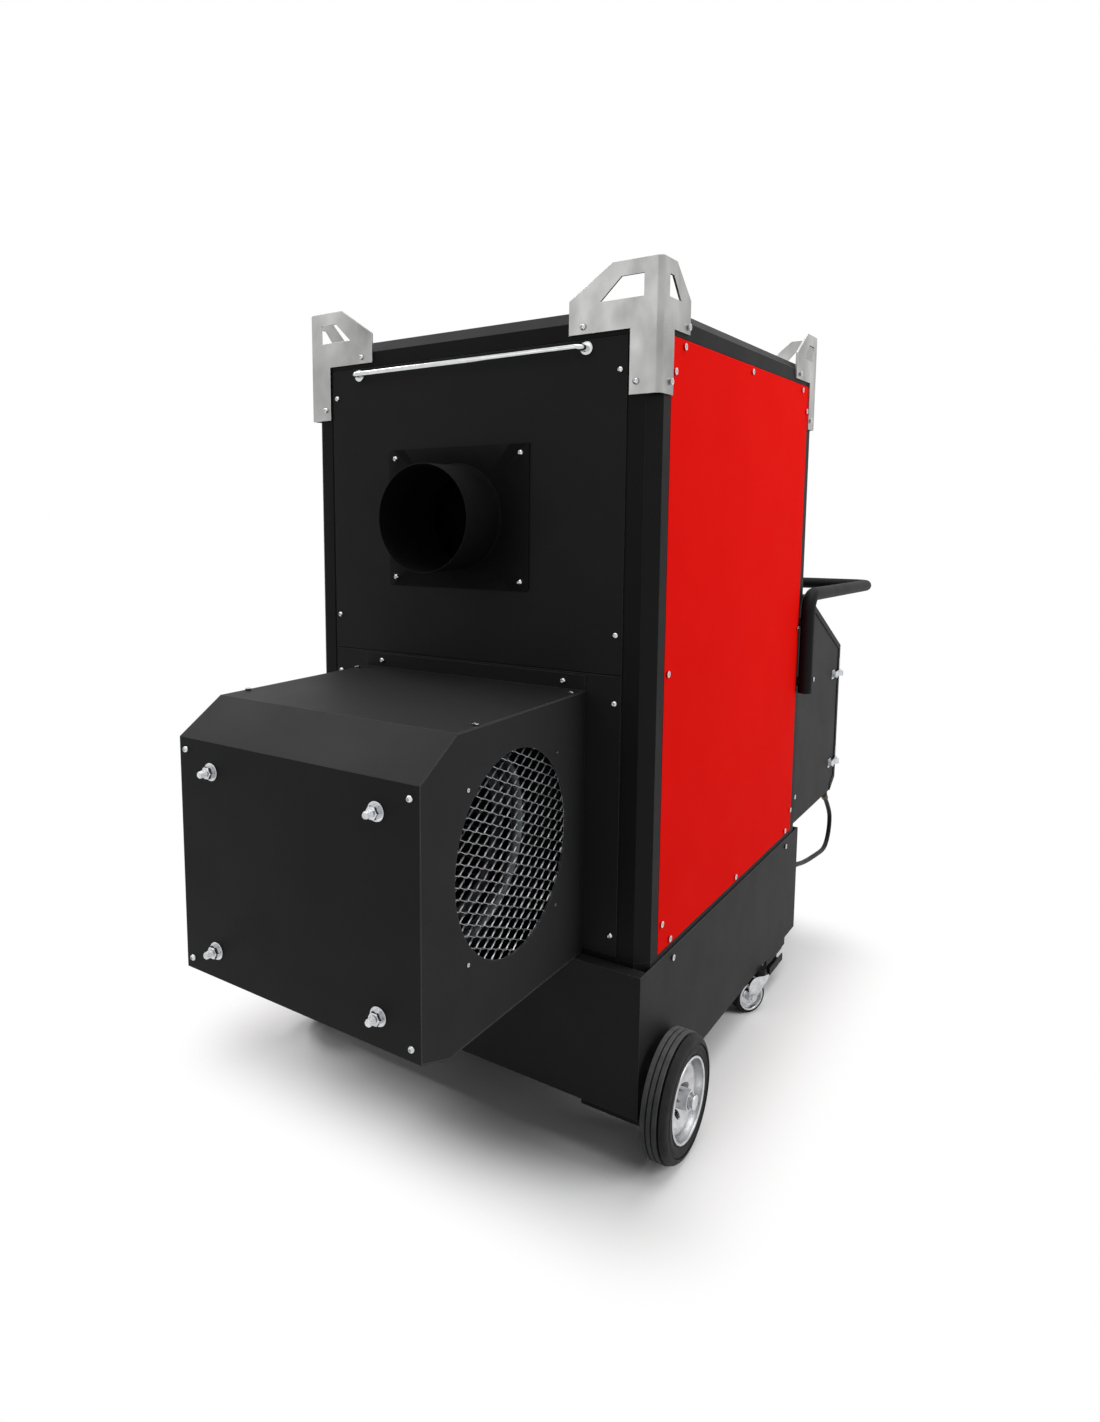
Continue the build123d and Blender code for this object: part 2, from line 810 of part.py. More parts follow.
def make_fan_wheel():
    """Double inlet fan wheel: forward curved blades between two end rings, on a middle disc and hub."""
    half = wheel_width / 2
    sweep_angle = math.radians(blade_sweep)
    tip = (wheel_radius * math.cos(sweep_angle), wheel_radius * math.sin(sweep_angle))
    heel = (wheel_inner_radius, 0)
    belly = ((tip[0] + heel[0]) / 2 + 3, (tip[1] + heel[1]) / 2 - 4)
    shift = (0, blade_thickness)
    front = ThreePointArc(heel, belly, tip)
    back = Pos(*shift) * front
    blade = make_face(Curve() + [front, back, Line(front @ 0, back @ 0), Line(front @ 1, back @ 1)])
    ring = Circle(wheel_radius) - Circle(wheel_inner_radius)
    blades = [blade_place * blade for blade_place in PolarLocations(0, blade_count)]
    vane_ring = (Sketch() + blades) & ring
    vanes = extrude(Plane.YZ.offset(-half) * vane_ring, amount=wheel_width)
    end_ring = plate_yz(ring, half - wheel_ring, half)
    disc = plate_yz(Circle(wheel_radius), -wheel_disc / 2, wheel_disc / 2)
    hub = plate_yz(Circle(hub_radius), -hub_motor_side, hub_far_side)
    wheel = disc + hub + [vanes, end_ring, mirror(end_ring, about=Plane.YZ)]
    wheel -= plate_yz(Circle(shaft_radius), -hub_motor_side, hub_far_side)
    return Pos(fan_box_x, fan_y, fan_z) * wheel


def motor_ends():
    """Left and right ends of the fan motor, which sits inside the left half of the fan wheel."""
    right = fan_box_x - wheel_disc / 2 - motor_to_disc
    return right - motor_length, right


def make_fan_shaft():
    """Fan shaft from inside the motor to the far end of the wheel's hub."""
    left, right = motor_ends()
    start = left + motor_length / 4 + shaft_end_gap
    return rod_x(start, fan_box_x + hub_far_side, fan_y, fan_z, shaft_radius)


def make_fan_motor():
    """Ribbed fan motor on three arms that reach a ring on the scroll's left eye."""
    left, right = motor_ends()
    body = rod_x(left, right, 0, 0, motor_radius - motor_fin_height)
    fin_box = box_between(
        left + 8, right - 8, 0, motor_radius, -motor_fin_width / 2, motor_fin_width / 2)
    fins = [Rot(step * 360 / motor_fin_count, 0, 0) * fin_box for step in range(motor_fin_count)]
    ring_left = fan_box_x - scroll_half + scroll_sheet
    ring_right = ring_left + motor_arm_thickness
    boss = rod_x(ring_left, left, 0, 0, motor_radius * 0.6)
    ring_outer = eye_radius + motor_ring_lap
    ring = plate_yz(Circle(ring_outer) - Circle(ring_outer - motor_ring_width), ring_left, ring_right)
    arm_box = box_between(
        ring_left, ring_right, 0, ring_outer - motor_ring_width / 2,
        -motor_arm_width / 2, motor_arm_width / 2)
    arms = [Rot(90 + step * 120, 0, 0) * arm_box for step in range(3)]
    motor = body + fins + arms + [boss, ring]
    motor -= rod_x(left + motor_length / 4, right + 1, 0, 0, shaft_radius + running_gap)
    return Pos(0, fan_y, fan_z) * motor


def make_fan_studs():
    """Four threaded studs through the front of the fan box, each with a washer and a nut."""
    face = -fan_box_depth
    pieces = []
    for side in (-1, 1):
        for level in (-1, 1):
            x = fan_box_x + side * stud_half_x
            z = stud_mid_z + level * stud_half_z
            stud = rod_y(face - stud_stand_out, face, x, z, stud_radius)
            washer = rod_y(face - stud_washer_thickness, face, x, z, stud_washer_radius)
            nut_face = Pos(x, z) * RegularPolygon(stud_nut_flats / 2, 6, major_radius=False)
            nut_start = face - stud_washer_thickness - stud_nut_height
            nut = plate_xz(nut_face, nut_start, face - stud_washer_thickness)
            pieces.append(stud + washer + nut)
    return group(pieces)


def make_chamber():
    """Combustion chamber: a domed drum on its side with a neck that meets the burner-end panel."""
    end = cabinet_depth - rebate
    r = chamber_radius
    outer = Polyline(
        (0, chamber_front - chamber_dome), (0, chamber_front - chamber_dome + chamber_wall))
    dome_out = ThreePointArc(
        (0, chamber_front - chamber_dome),
        (r * 0.72, chamber_front - chamber_dome * 0.55),
        (r, chamber_front))
    dome_in = ThreePointArc(
        (0, chamber_front - chamber_dome + chamber_wall),
        (r * 0.71, chamber_front - chamber_dome * 0.5), (r - chamber_wall, chamber_front))
    body_out = Polyline(
        (r, chamber_front), (r, chamber_rear), (neck_radius, chamber_rear + 60), (neck_radius, end))
    w = chamber_wall
    body_in = Polyline(
        (r - w, chamber_front), (r - w, chamber_rear - 1), (neck_radius - w, chamber_rear + 59),
        (neck_radius - w, end))
    cap = Line((neck_radius, end), (neck_radius - w, end))
    profile = make_face(Curve() + [outer, dome_out, dome_in, body_out, body_in, cap])
    drum = Pos(0, 0, chamber_z) * revolve(profile, axis=Axis.Y)
    half = riser_half_width - header_wall
    y0 = rear_header_y + header_wall
    gas_hole = box_between(
        -half, half, y0, y0 + header_depth - 2 * header_wall, chamber_z, chamber_z + chamber_radius)
    return drum - gas_hole


def hollow_box(x0, x1, y0, y1, z0, z1, wall):
    """Closed box of sheet, open inside."""
    inside = box_between(x0 + wall, x1 - wall, y0 + wall, y1 - wall, z0 + wall, z1 - wall)
    return box_between(x0, x1, y0, y1, z0, z1) - inside


def make_exchanger():
    """Heat exchanger: two flat headers joined by rows of gas tubes, with its flue neck and its riser."""
    half = exchanger_half_width
    front = hollow_box(
        -half, half, front_header_y, front_header_y + header_depth,
        exchanger_bottom, exchanger_top, header_wall)
    rear = hollow_box(
        -half, half, rear_header_y, rear_header_y + header_depth,
        exchanger_bottom, exchanger_top, header_wall)
    centre_z = (exchanger_bottom + exchanger_top) / 2
    places = [Pos(x.position.X, centre_z + x.position.Y)
              for x in GridLocations(tube_pitch_x, tube_pitch_z, tube_columns, tube_rows)]
    y0 = front_header_y + header_depth - header_wall
    y1 = rear_header_y + header_wall
    tube_faces = [place * Circle(exchanger_tube_radius) for place in places]
    bore_faces = [place * Circle(exchanger_tube_radius - exchanger_tube_wall) for place in places]
    tubes = [plate_xz(face, y0, y1) for face in tube_faces]
    bores = [plate_xz(face, y0, y1) for face in bore_faces]
    flue_start = rebate - panel_sheet
    neck_radius_in = flue_radius - flue_wall
    neck_radius_out = neck_radius_in + exchanger_tube_wall
    neck = rod_y(flue_start, front_header_y + header_wall, flue_x, flue_z, neck_radius_out)
    neck_bore = rod_y(flue_start, front_header_y + header_wall, flue_x, flue_z, neck_radius_in)
    drum_top = chamber_z
    riser = box_between(
        -riser_half_width, riser_half_width, rear_header_y, rear_header_y + header_depth,
        drum_top, exchanger_bottom + header_wall)
    riser_bore = box_between(
        -riser_half_width + header_wall, riser_half_width - header_wall, rear_header_y + header_wall,
        rear_header_y + header_depth - header_wall, drum_top, exchanger_bottom + header_wall)
    drum = rod_y(chamber_front, chamber_rear, 0, chamber_z, chamber_radius + riser_gap)
    riser -= drum
    return front + rear + tubes + [neck, riser] - bores - [neck_bore, riser_bore]


def make_blast_tube():
    """Burner blast tube with its square mounting flange on the burner-end panel."""
    start = rear_face
    flange_face = Pos(0, chamber_z) * RectangleRounded(burner_flange_side, burner_flange_side, 12)
    flange = plate_xz(flange_face, start, start + burner_flange_thickness)
    end = start + burner_flange_thickness
    tube = rod_y(start - blast_tube_reach, end, 0, chamber_z, blast_tube_radius)
    bore = rod_y(start - blast_tube_reach, end, 0, chamber_z, blast_tube_radius - blast_tube_wall)
    return flange + tube - bore


def make_burner_housing():
    """Burner body: a round fan housing with its neck on the blast tube and a control box on top."""
    start = rear_face + burner_flange_thickness
    axis_y = start + burner_neck_length + volute_radius
    axis_z = chamber_z - volute_offset
    half = volute_width / 2
    volute = rod_x(-half, half, axis_y, axis_z, volute_radius)
    neck_face = Pos(0, chamber_z) * Circle(burner_neck_radius)
    neck = plate_xz(neck_face, start, axis_y)
    body = volute + neck
    top = box_between(
        -half - 20, half + 20, start + 16, axis_y + 40,
        chamber_z + blast_tube_radius - 8, chamber_z + blast_tube_radius + burner_cap_height)
    top = fillet(top.edges().filter_by(Axis.Z), 12)
    return body + top


def make_burner_motor():
    """Burner motor on one side of the volute and the fuel pump on the other."""
    start = rear_face + burner_flange_thickness
    axis_y = start + burner_neck_length + volute_radius
    axis_z = chamber_z - volute_offset
    half = volute_width / 2
    motor = rod_x(-half - burner_motor_length, -half, axis_y, axis_z, burner_motor_radius)
    motor = fillet(motor.faces().sort_by(Axis.X)[0].edges(), 10)
    pump = rod_x(half, half + burner_pump_length, axis_y, axis_z, burner_pump_radius)
    return group([motor, pump])


def burner_outline():
    """Side view of the burner box with its cover, as (y, z)."""
    return outline(
        (rear_face, burner_box_top), (cover_top_y, burner_box_top),
        (box_rear, burner_box_top - burner_box_slope_drop),
        (box_rear, burner_box_bottom + burner_box_toe_height),
        (box_rear - burner_box_toe_depth, burner_box_bottom), (rear_face, burner_box_bottom))


def cover_band(depth):
    """Strip of the side view that runs along the slope, the rear and the toe of the burner box."""
    full = burner_outline()
    band = full - offset(full, amount=-depth, kind=Kind.INTERSECTION)
    toe_edge = box_rear - burner_box_toe_depth
    middle = (burner_box_top + burner_box_bottom) / 2
    above = outline(
        (rear_face, middle), (cover_top_y, middle),
        (cover_top_y, burner_box_top), (rear_face, burner_box_top))
    below = outline(
        (rear_face, burner_box_bottom), (toe_edge, burner_box_bottom),
        (toe_edge, middle), (rear_face, middle))
    return band - above - below


def burner_side_face():
    """Side wall of the burner box, inside the cover's plates."""
    skin = cover_gap + burner_box_sheet
    wall = offset(burner_outline(), amount=-skin, kind=Kind.INTERSECTION)
    toe_edge = box_rear - burner_box_toe_depth
    wall += outline(
        (rear_face, burner_box_top - 2 * skin), (cover_top_y - skin, burner_box_top - 2 * skin),
        (cover_top_y - skin, burner_box_top), (rear_face, burner_box_top))
    wall += outline(
        (rear_face, burner_box_bottom), (toe_edge - skin, burner_box_bottom),
        (toe_edge - skin, burner_box_bottom + 2 * skin), (rear_face, burner_box_bottom + 2 * skin))
    wall += outline(
        (rear_face, burner_box_bottom), (rear_face + 2 * skin, burner_box_bottom),
        (rear_face + 2 * skin, burner_box_top), (rear_face, burner_box_top))
    return wall


def make_burner_box():
    """Fixed part of the burner box: two side walls, top and floor, open under the cover."""
    skin = cover_gap + burner_box_sheet
    half = burner_box_half - skin
    side = plate_yz(burner_side_face(), half - burner_box_sheet, half)
    top = box_between(
        -half, half, rear_face, cover_top_y - skin, burner_box_top - burner_box_sheet, burner_box_top)
    floor = box_between(
        -half, half, rear_face, box_rear - burner_box_toe_depth - skin, burner_box_bottom,
        burner_box_bottom + burner_box_sheet)
    ring = Rectangle(2 * half, burner_box_top - burner_box_bottom)
    inner_height = burner_box_top - burner_box_bottom - 2 * burner_box_flange
    ring -= Rectangle(2 * half - 2 * burner_box_flange, inner_height)
    ring_face = Pos(0, (burner_box_top + burner_box_bottom) / 2) * ring
    flange = plate_xz(ring_face, rear_face, rear_face + burner_box_sheet)
    return side + mirror_left(side) + top + floor + flange


def make_burner_cover():
    """Lift-off cover: one folded sheet of slope, rear and toe, its edges returned over the side walls."""
    half = burner_box_half
    plate = plate_yz(cover_band(burner_box_sheet), -half, half)
    returns = plate_yz(cover_band(cover_return), half - burner_box_sheet, half)
    return plate + returns + mirror_left(returns)


def button_head(radius=screw_head_radius, height=screw_head_height):
    """Screw head standing on Z = 0."""
    head = Cylinder(radius, height, align=(Align.CENTER, Align.CENTER, Align.MIN))
    return chamfer(head.edges().sort_by(Axis.Z)[-1], height * 0.45)


def heads_on(plane_of, places, radius=screw_head_radius, height=screw_head_height):
    """Screw heads at several places of a face."""
    head = button_head(radius, height)
    return [plane_of(place) * head for place in places]


def on_front(y):
    """Function that gives a plane looking out of the fan end at a place (x, z) on the level y."""
    return lambda place: Plane(origin=(place[0], y, place[1]), x_dir=(1, 0, 0), z_dir=(0, -1, 0))


def on_right(x):
    """Function that gives a plane looking out of the right side at a place (y, z) on the level x."""
    return lambda place: Plane(origin=(x, place[0], place[1]), x_dir=(0, 1, 0), z_dir=(1, 0, 0))


def on_rear(y):
    """Function that gives a plane looking out of the burner end at a place (x, z) on the level y."""
    return lambda place: Plane(origin=(place[0], y, place[1]), x_dir=(-1, 0, 0), z_dir=(0, 1, 0))


def on_top(z):
    """Function that gives a plane looking up at a place (x, y) on the level z."""
    return lambda place: Plane(origin=(place[0], place[1], z), x_dir=(1, 0, 0), z_dir=(0, 0, 1))


def make_screws():
    """Visible screw heads of the panels, brackets, flue plate, fan box and base."""
    inset = panel_screw_inset
    edge_x = front_panel_width / 2 - inset
    face = -panel_proud
    front_z = (front_high - upper_screw_drop, divide_high + upper_screw_rise,
               divide_low - lower_screw_drop, front_low + lower_screw_rise)
    front = [(side * edge_x, z) for side in (-1, 1) for z in front_z]
    heads = heads_on(on_front(face), front)
    flue_half_x = flue_plate_width / 2 - flue_screw_inset
    flue_half_z = flue_plate_height / 2 - flue_screw_inset
    flue = [(flue_x + a * flue_half_x, flue_z + b * flue_half_z) for a in (-1, 1) for b in (-1, 1)]
    heads += heads_on(on_front(face - flue_plate_sheet), flue)
    heads += fan_box_heads()
    side_low = pillar_low + panel_gap + inset
    side_high = pillar_high - panel_gap - inset
    near = profile_side + panel_gap + inset
    next_y = near + side_screw_run
    along = (next_y, cabinet_depth / 2, cabinet_depth - next_y)
    side = [(y, z) for y in along for z in (side_low, side_high)]
    edge_z = (side_low + side_screw_rise, divider_height, side_high - side_screw_drop)
    side += [(y, z) for y in (near, cabinet_depth - near) for z in edge_z]
    right = heads_on(on_right(half_width + panel_proud), side)
    base_z = base_top - base_screw_drop
    base = [(base_screw_front, base_z), (cabinet_depth - base_screw_rear, base_z)]
    right += heads_on(on_right(base_half_width), base)
    right += bracket_heads()
    right += burner_box_heads()
    heads += right + [mirror_left(head) for head in right]
    return group(heads)


def fan_box_heads():
    """Screws at the corners of the fan box front, on its flange and along its top edges."""
    corner_x = box_half - fan_screw_inset
    top_z = fan_box_top - top_bevel_height - fan_screw_bevel_gap
    bottom_z = fan_box_bottom + bottom_bevel_height + fan_screw_bevel_gap
    corners = [(fan_box_x + a * corner_x, z) for a in (-1, 1) for z in (top_z, bottom_z)]
    heads = heads_on(on_front(-fan_box_depth), corners)
    flange_x = box_half - fan_flange_screw_inset
    flange = [(fan_box_x + a * flange_x, fan_box_top + fan_flange_height / 2) for a in (-1, 1)]
    heads += heads_on(on_front(-panel_proud - fan_box_sheet), flange)
    top_x = box_half - fan_top_screw_inset
    top = [(fan_box_x + a * top_x, -y) for a in (-1, 1) for y in (fan_top_screw_front, fan_top_screw_rear)]
    return heads + heads_on(on_top(fan_box_top), top)


def bracket_heads():
    """Two screws on each wing of the right-hand lifting brackets."""
    wing_z = bracket_wing_bottom + wing_screw_rise
    leg_z = bracket_bottom + leg_screw_rise
    t = bracket_sheet
    long_reach = long_wing - long_wing_screw_inset
    short_reach = short_wing - short_wing_screw_inset
    leg_reach = bracket_leg - leg_screw_inset
    long_x = half_width + t - long_reach
    leg_x = half_width + t - leg_reach
    front = heads_on(on_front(-t), [(long_x, wing_z), (leg_x, leg_z)])
    short_y = short_reach - t
    leg_y = leg_reach - t
    side = heads_on(on_right(half_width + t), [(short_y, wing_z), (leg_y, leg_z)])
    far = cabinet_depth + t
    far_side = [(far - long_reach, wing_z), (far - leg_reach, leg_z)]
    side += heads_on(on_right(half_width + t), far_side)
    rear = [(half_width + t - short_reach, wing_z), (half_width + t - leg_reach, leg_z)]
    return front + side + heads_on(on_rear(far), rear)


def burner_box_heads():
    """Screws in the right-hand wall of the burner box."""
    high = (rear_face + box_screw_high_back, burner_box_top - box_screw_high_drop)
    middle = (rear_face + box_screw_mid_back, burner_box_top - box_screw_mid_drop)
    low = (rear_face + box_screw_low_back, burner_box_bottom + box_screw_low_rise)
    return heads_on(on_right(latch_wall), [high, middle, low])


def make_rivets():
    """Rivets that hold the grilles to the fan box sides."""
    places = [(fan_y + a * rivet_offset, fan_z + b * rivet_offset) for a in (-1, 1) for b in (-1, 1)]
    heads = heads_on(on_right(box_right), places, rivet_radius, rivet_height)
    return group(heads + [mirror_fan(head) for head in heads])


latch_wall = burner_box_half - cover_gap - burner_box_sheet
latch_pivot_y = box_rear - latch_back


def make_latch_plate(z):
    """Fixed plate of one right-hand draw latch with the two ears that carry its pin."""
    x0 = latch_wall
    x1 = x0 + latch_plate_thickness
    y0 = latch_pivot_y - latch_plate_length / 2
    y1 = y0 + latch_plate_length * 0.7
    plate = box_between(x0, x1, y0, y1, z - latch_plate_height / 2, z + latch_plate_height / 2)
    ear_out = x0 + latch_pivot_stand + latch_pin_radius + 2
    ear_low = latch_lever_height / 2 + latch_side_gap
    ear_high = ear_low + latch_ear_thickness
    ear = box_between(x1, ear_out, latch_pivot_y - 6, latch_pivot_y + 6, z + ear_low, z + ear_high)
    other = box_between(x1, ear_out, latch_pivot_y - 6, latch_pivot_y + 6, z - ear_high, z - ear_low)
    pin = rod_z(z - ear_high, z + ear_high, x0 + latch_pivot_stand, latch_pivot_y, latch_pin_radius)
    return plate + ear + other + pin


def make_latch_lever(z):
    """Lever of one right-hand draw latch, closed, its two claw prongs reaching over the cover's edge."""
    x = latch_wall + latch_pivot_stand
    half = latch_lever_height / 2
    hub = rod_z(z - half, z + half, x, latch_pivot_y, latch_pin_radius + 2.0)
    knee_y = latch_pivot_y + latch_lever_length * 0.6
    tip_y = latch_pivot_y + latch_lever_length
    t = latch_lever_thickness
    lever_face = outline(
        (x, latch_pivot_y - 3), (x + t, latch_pivot_y - 3), (x + 4, knee_y), (x + 12, tip_y),
        (x + 12 - t, tip_y + 1), (x + 4 - t, knee_y + 1))
    lever = plate_xy(lever_face, z - half, z + half)
    prong_end = latch_pivot_y + latch_back - 4
    prong_low = half - latch_prong_height
    prong = box_between(x - 2, x + 1, latch_pivot_y, prong_end, z + prong_low, z + half)
    other = box_between(x - 2, x + 1, latch_pivot_y, prong_end, z - half, z - prong_low)
    bore = rod_z(z - half, z + half, x, latch_pivot_y, latch_pin_radius + running_gap)
    return hub + lever + prong + other - bore


def make_keeper(z):
    """Keeper tongue on the cover's side return, between the claw's prongs."""
    x0 = burner_box_half
    half = latch_lever_height / 2 - latch_prong_height - latch_side_gap
    y1 = box_rear - 3
    y0 = y1 - 10
    tongue = box_between(x0, x0 + 7, y0, y1, z - half, z + half)
    foot = box_between(x0, x0 + 2, y0, y1, z + half, z + keeper_rise)
    return tongue + foot


def make_handle():
    """Bent tube push handle: a leg on each rear pillar, two arms past the burner box and a cross bar."""
    points = [
        (handle_x, handle_leg_y, handle_leg_bottom), (handle_x, handle_leg_y, handle_top),
        (handle_x, handle_end_y, handle_end_z), (-handle_x, handle_end_y, handle_end_z),
        (-handle_x, handle_leg_y, handle_top), (-handle_x, handle_leg_y, handle_leg_bottom)]
    path = FilletPolyline(*points, radius=handle_bend)
    start = Plane(origin=path @ 0, z_dir=path % 0)
    tube = sweep(start * Circle(handle_radius), path=path)
    pads = []
    for z in (handle_pad_low, handle_pad_high):
        pad = rod_x(half_width, handle_x - handle_radius + 3, handle_leg_y, z, handle_pad_radius)
        pads.append(pad)
        pads.append(mirror_left(pad))
    return tube + pads


def make_base():
    """Base shell: a folded sheet tray with a ledge at both ends, around the frame's bottom rails."""
    w = base_half_width
    y0 = -base_front
    y1 = cabinet_depth + base_rear
    s = base_sheet
    shell = box_between(-w, w, y0, y1, base_bottom, base_top)
    shell -= box_between(-w + s, w - s, y0 + s, y1 - s, base_bottom + s, base_top - s)
    mouth = box_between(-w + s, w - s, 0, cabinet_depth, base_top - s, base_top)
    shell -= mouth
    ledge = box_between(-w + s, w - s, y0 + s, y1 - s, frame_bottom - s, frame_bottom)
    ledge -= box_between(
        -w + base_ledge, w - base_ledge, base_ledge, cabinet_depth - base_ledge,
        frame_bottom - s, frame_bottom)
    shell += ledge
    neck = filler_solid(filler_radius + filler_hole_clearance, -80, 80)
    return shell - neck


def filler_place(along):
    """Place on the filler neck's axis, a distance out from where the axis meets the base side."""
    out = math.cos(math.pi / 4)
    start = (-base_half_width - along * out, filler_y, filler_z + along * out)
    return Plane(origin=start, x_dir=(0, 1, 0), z_dir=(-out, 0, out))


def filler_solid(radius, start, end):
    """Round bar along the filler neck's axis."""
    return extrude(filler_place(start) * Circle(radius), amount=end - start)


def make_tank():
    """Moulded fuel tank inside the base, with its sloping filler neck."""
    w = base_half_width - base_sheet - tank_side_clearance
    y0 = -base_front + base_sheet + tank_end_clearance
    y1 = cabinet_depth + base_rear - base_sheet - tank_end_clearance
    z0 = base_bottom + base_sheet
    z1 = frame_bottom - panel_proud - tank_top_clearance
    block = box_between(-w, w, y0, y1, z0, z1)
    block = fillet(block.edges().filter_by(Axis.Z), tank_corner)
    t = tank_wall
    inside = box_between(-w + t, w - t, y0 + t, y1 - t, z0 + t, z1 - t)
    inside = fillet(inside.edges().filter_by(Axis.Z), tank_corner - t)
    neck = filler_solid(filler_radius, -70, filler_reach)
    trimmed = neck - box_between(-w + t, w, y0, y1, z0, z1 + 60)
    bore = filler_solid(filler_radius - filler_wall, -70, filler_reach)
    return block + trimmed - inside - bore


def make_cap():
    """Fuel cap over the end of the filler neck."""
    start = filler_reach - cap_height + cap_wall
    outer = filler_solid(cap_radius, start, filler_reach + cap_wall)
    hollow = filler_solid(filler_radius + cap_gap, start, filler_reach + cap_gap)
    grips = []
    for step in range(8):
        spot = filler_place(start) * Rot(0, 0, step * 45) * Pos(cap_radius + 1, 0, 0)
        grips.append(extrude(spot * Rot(0, 0, 0) * Circle(4), amount=cap_height + 2))
    return outer - hollow - grips


def lip_sections(inner_radius):
    """Rims of the front wheel's well at both sides of the tyre, as (radius, x)."""
    place = tyre_width / 2 - rim_lip_width / 2
    lip = Rectangle(rim_lip_radius - inner_radius, rim_lip_width)
    radius = (rim_lip_radius + inner_radius) / 2
    return [Pos(radius, place) * lip, Pos(radius, -place) * lip]


def tyre_profile():
    """Section of a front tyre as (radius, x), with rounded shoulders and three grooves."""
    depth = tyre_radius - rim_well_radius
    section = Pos(rim_well_radius + depth / 2, 0) * Rectangle(depth, tyre_width)
    section = fillet(section.vertices().group_by(Axis.X)[-1], tyre_shoulder)
    groove = Rectangle(groove_depth, groove_width)
    place = tyre_radius - groove_depth / 2
    section -= [Pos(place, step * groove_pitch) * groove for step in (-1, 0, 1)]
    return section - lip_sections(rim_well_radius)


def revolve_about_x(section):
    """Turn a section drawn as (radius, x) about the X axis."""
    solid = revolve(section, axis=Axis.Y)
    return Rot(0, 0, -90) * solid


def make_tyre():
    """Right-hand front tyre."""
    return Pos(road_wheel_x, wheel_y, tyre_radius) * revolve_about_x(tyre_profile())


def make_rim():
    """Right-hand front wheel rim: a rolled well, one dished disc with round holes and a hub tube."""
    half = tyre_width / 2
    inner = rim_well_radius - rim_sheet
    well = Pos(rim_well_radius - rim_sheet / 2, 0) * Rectangle(rim_sheet, tyre_width)
    x0 = -rim_disc_offset
    x1 = x0 + rim_disc_rise
    t = rim_sheet
    disc = outline((road_hub_radius, x0), (inner, x1), (inner, x1 + t), (road_hub_radius, x0 + t))
    bore = road_axle_radius + running_gap
    hub = Pos((road_hub_radius + bore) / 2, 0) * Rectangle(road_hub_radius - bore, 2 * road_hub_half)
    section = Sketch() + [well, hub, disc] + lip_sections(inner)
    rim = revolve_about_x(section)
    hole = rod_x(-half, half, 0, rim_hole_circle, rim_hole_radius)
    holes = [Rot(25 + step * 90, 0, 0) * hole for step in range(4)]
    return Pos(road_wheel_x, wheel_y, tyre_radius) * (rim - holes)


def make_axle_brackets():
    """Folded brackets under the front corners of the base, each with its stub axle and end cap."""
    w = base_half_width
    s = wheel_bracket_sheet
    foot_low = base_bottom - wheel_bracket_foot
    foot = box_between(
        wheel_bracket_inner, w + s, -wheel_bracket_front, wheel_bracket_rear, foot_low, base_bottom)
    side_face = outline(
        (-wheel_bracket_front, base_bottom), (wheel_bracket_rear, base_bottom),
        (wheel_y + wheel_bracket_side_half, base_bottom + wheel_bracket_rise),
        (wheel_y - wheel_bracket_side_half, base_bottom + wheel_bracket_rise))
    side = plate_yz(side_face, w, w + s)
    start = w + s
    shoulder = road_wheel_x - road_hub_half - axle_end_gap
    end = road_wheel_x + road_hub_half + axle_end_gap
    axle = rod_x(start, end, wheel_y, tyre_radius, road_axle_radius)
    boss = rod_x(start, shoulder, wheel_y, tyre_radius, axle_boss_radius)
    cap = rod_x(end, end + axle_cap_length, wheel_y, tyre_radius, axle_cap_radius)
    right = foot + side + [axle, boss, cap]
    return group([right, mirror_left(right)])


def make_castor_heads():
    """Round swivel heads of the rear castors with their pins."""
    top = base_bottom
    crown_top = castor_crown_top()
    head = rod_z(crown_top + fork_gap, top, castor_x, castor_y, castor_head_radius)
    pin = rod_z(crown_top - fork_sheet - 2, top, castor_x, castor_y, castor_pin_radius)
    nut_top = crown_top - fork_sheet - fork_gap
    nut = rod_z(nut_top - castor_nut_height, nut_top, castor_x, castor_y, castor_nut_radius)
    right = head + pin + nut
    return group([right, mirror_left(right)])


def castor_crown_top():
    """Top of the fork's crown plate."""
    return 2 * castor_radius + fork_wheel_gap + fork_sheet


def castor_place():
    """Where the right-hand castor stands: on its swivel axis, turned as it came to rest."""
    return Pos(castor_x, castor_y) * Rot(0, 0, -castor_turn)


def fork_leg_outline(top):
    """Pressed leg of the fork as (y, z) from the swivel axis: wide at the crown, round at the bolt."""
    near = fork_leg_end - castor_trail
    far = -fork_leg_end - castor_trail
    shoulder = top - fork_shoulder_drop
    below = (-castor_trail, castor_radius - fork_leg_end)
    middle = ((far - fork_crown_half) / 2 - 4, (shoulder + top) / 2 + 4)
    return make_face(Curve() + [
        Line((fork_crown_half, top), (fork_crown_half, top - fork_edge_drop)),
        Line((fork_crown_half, top - fork_edge_drop), (near, castor_radius)),
        ThreePointArc((near, castor_radius), below, (far, castor_radius)),
        Line((far, castor_radius), (far, shoulder)),
        ThreePointArc((far, shoulder), middle, (-fork_crown_half, top)),
        Line((-fork_crown_half, top), (fork_crown_half, top))])


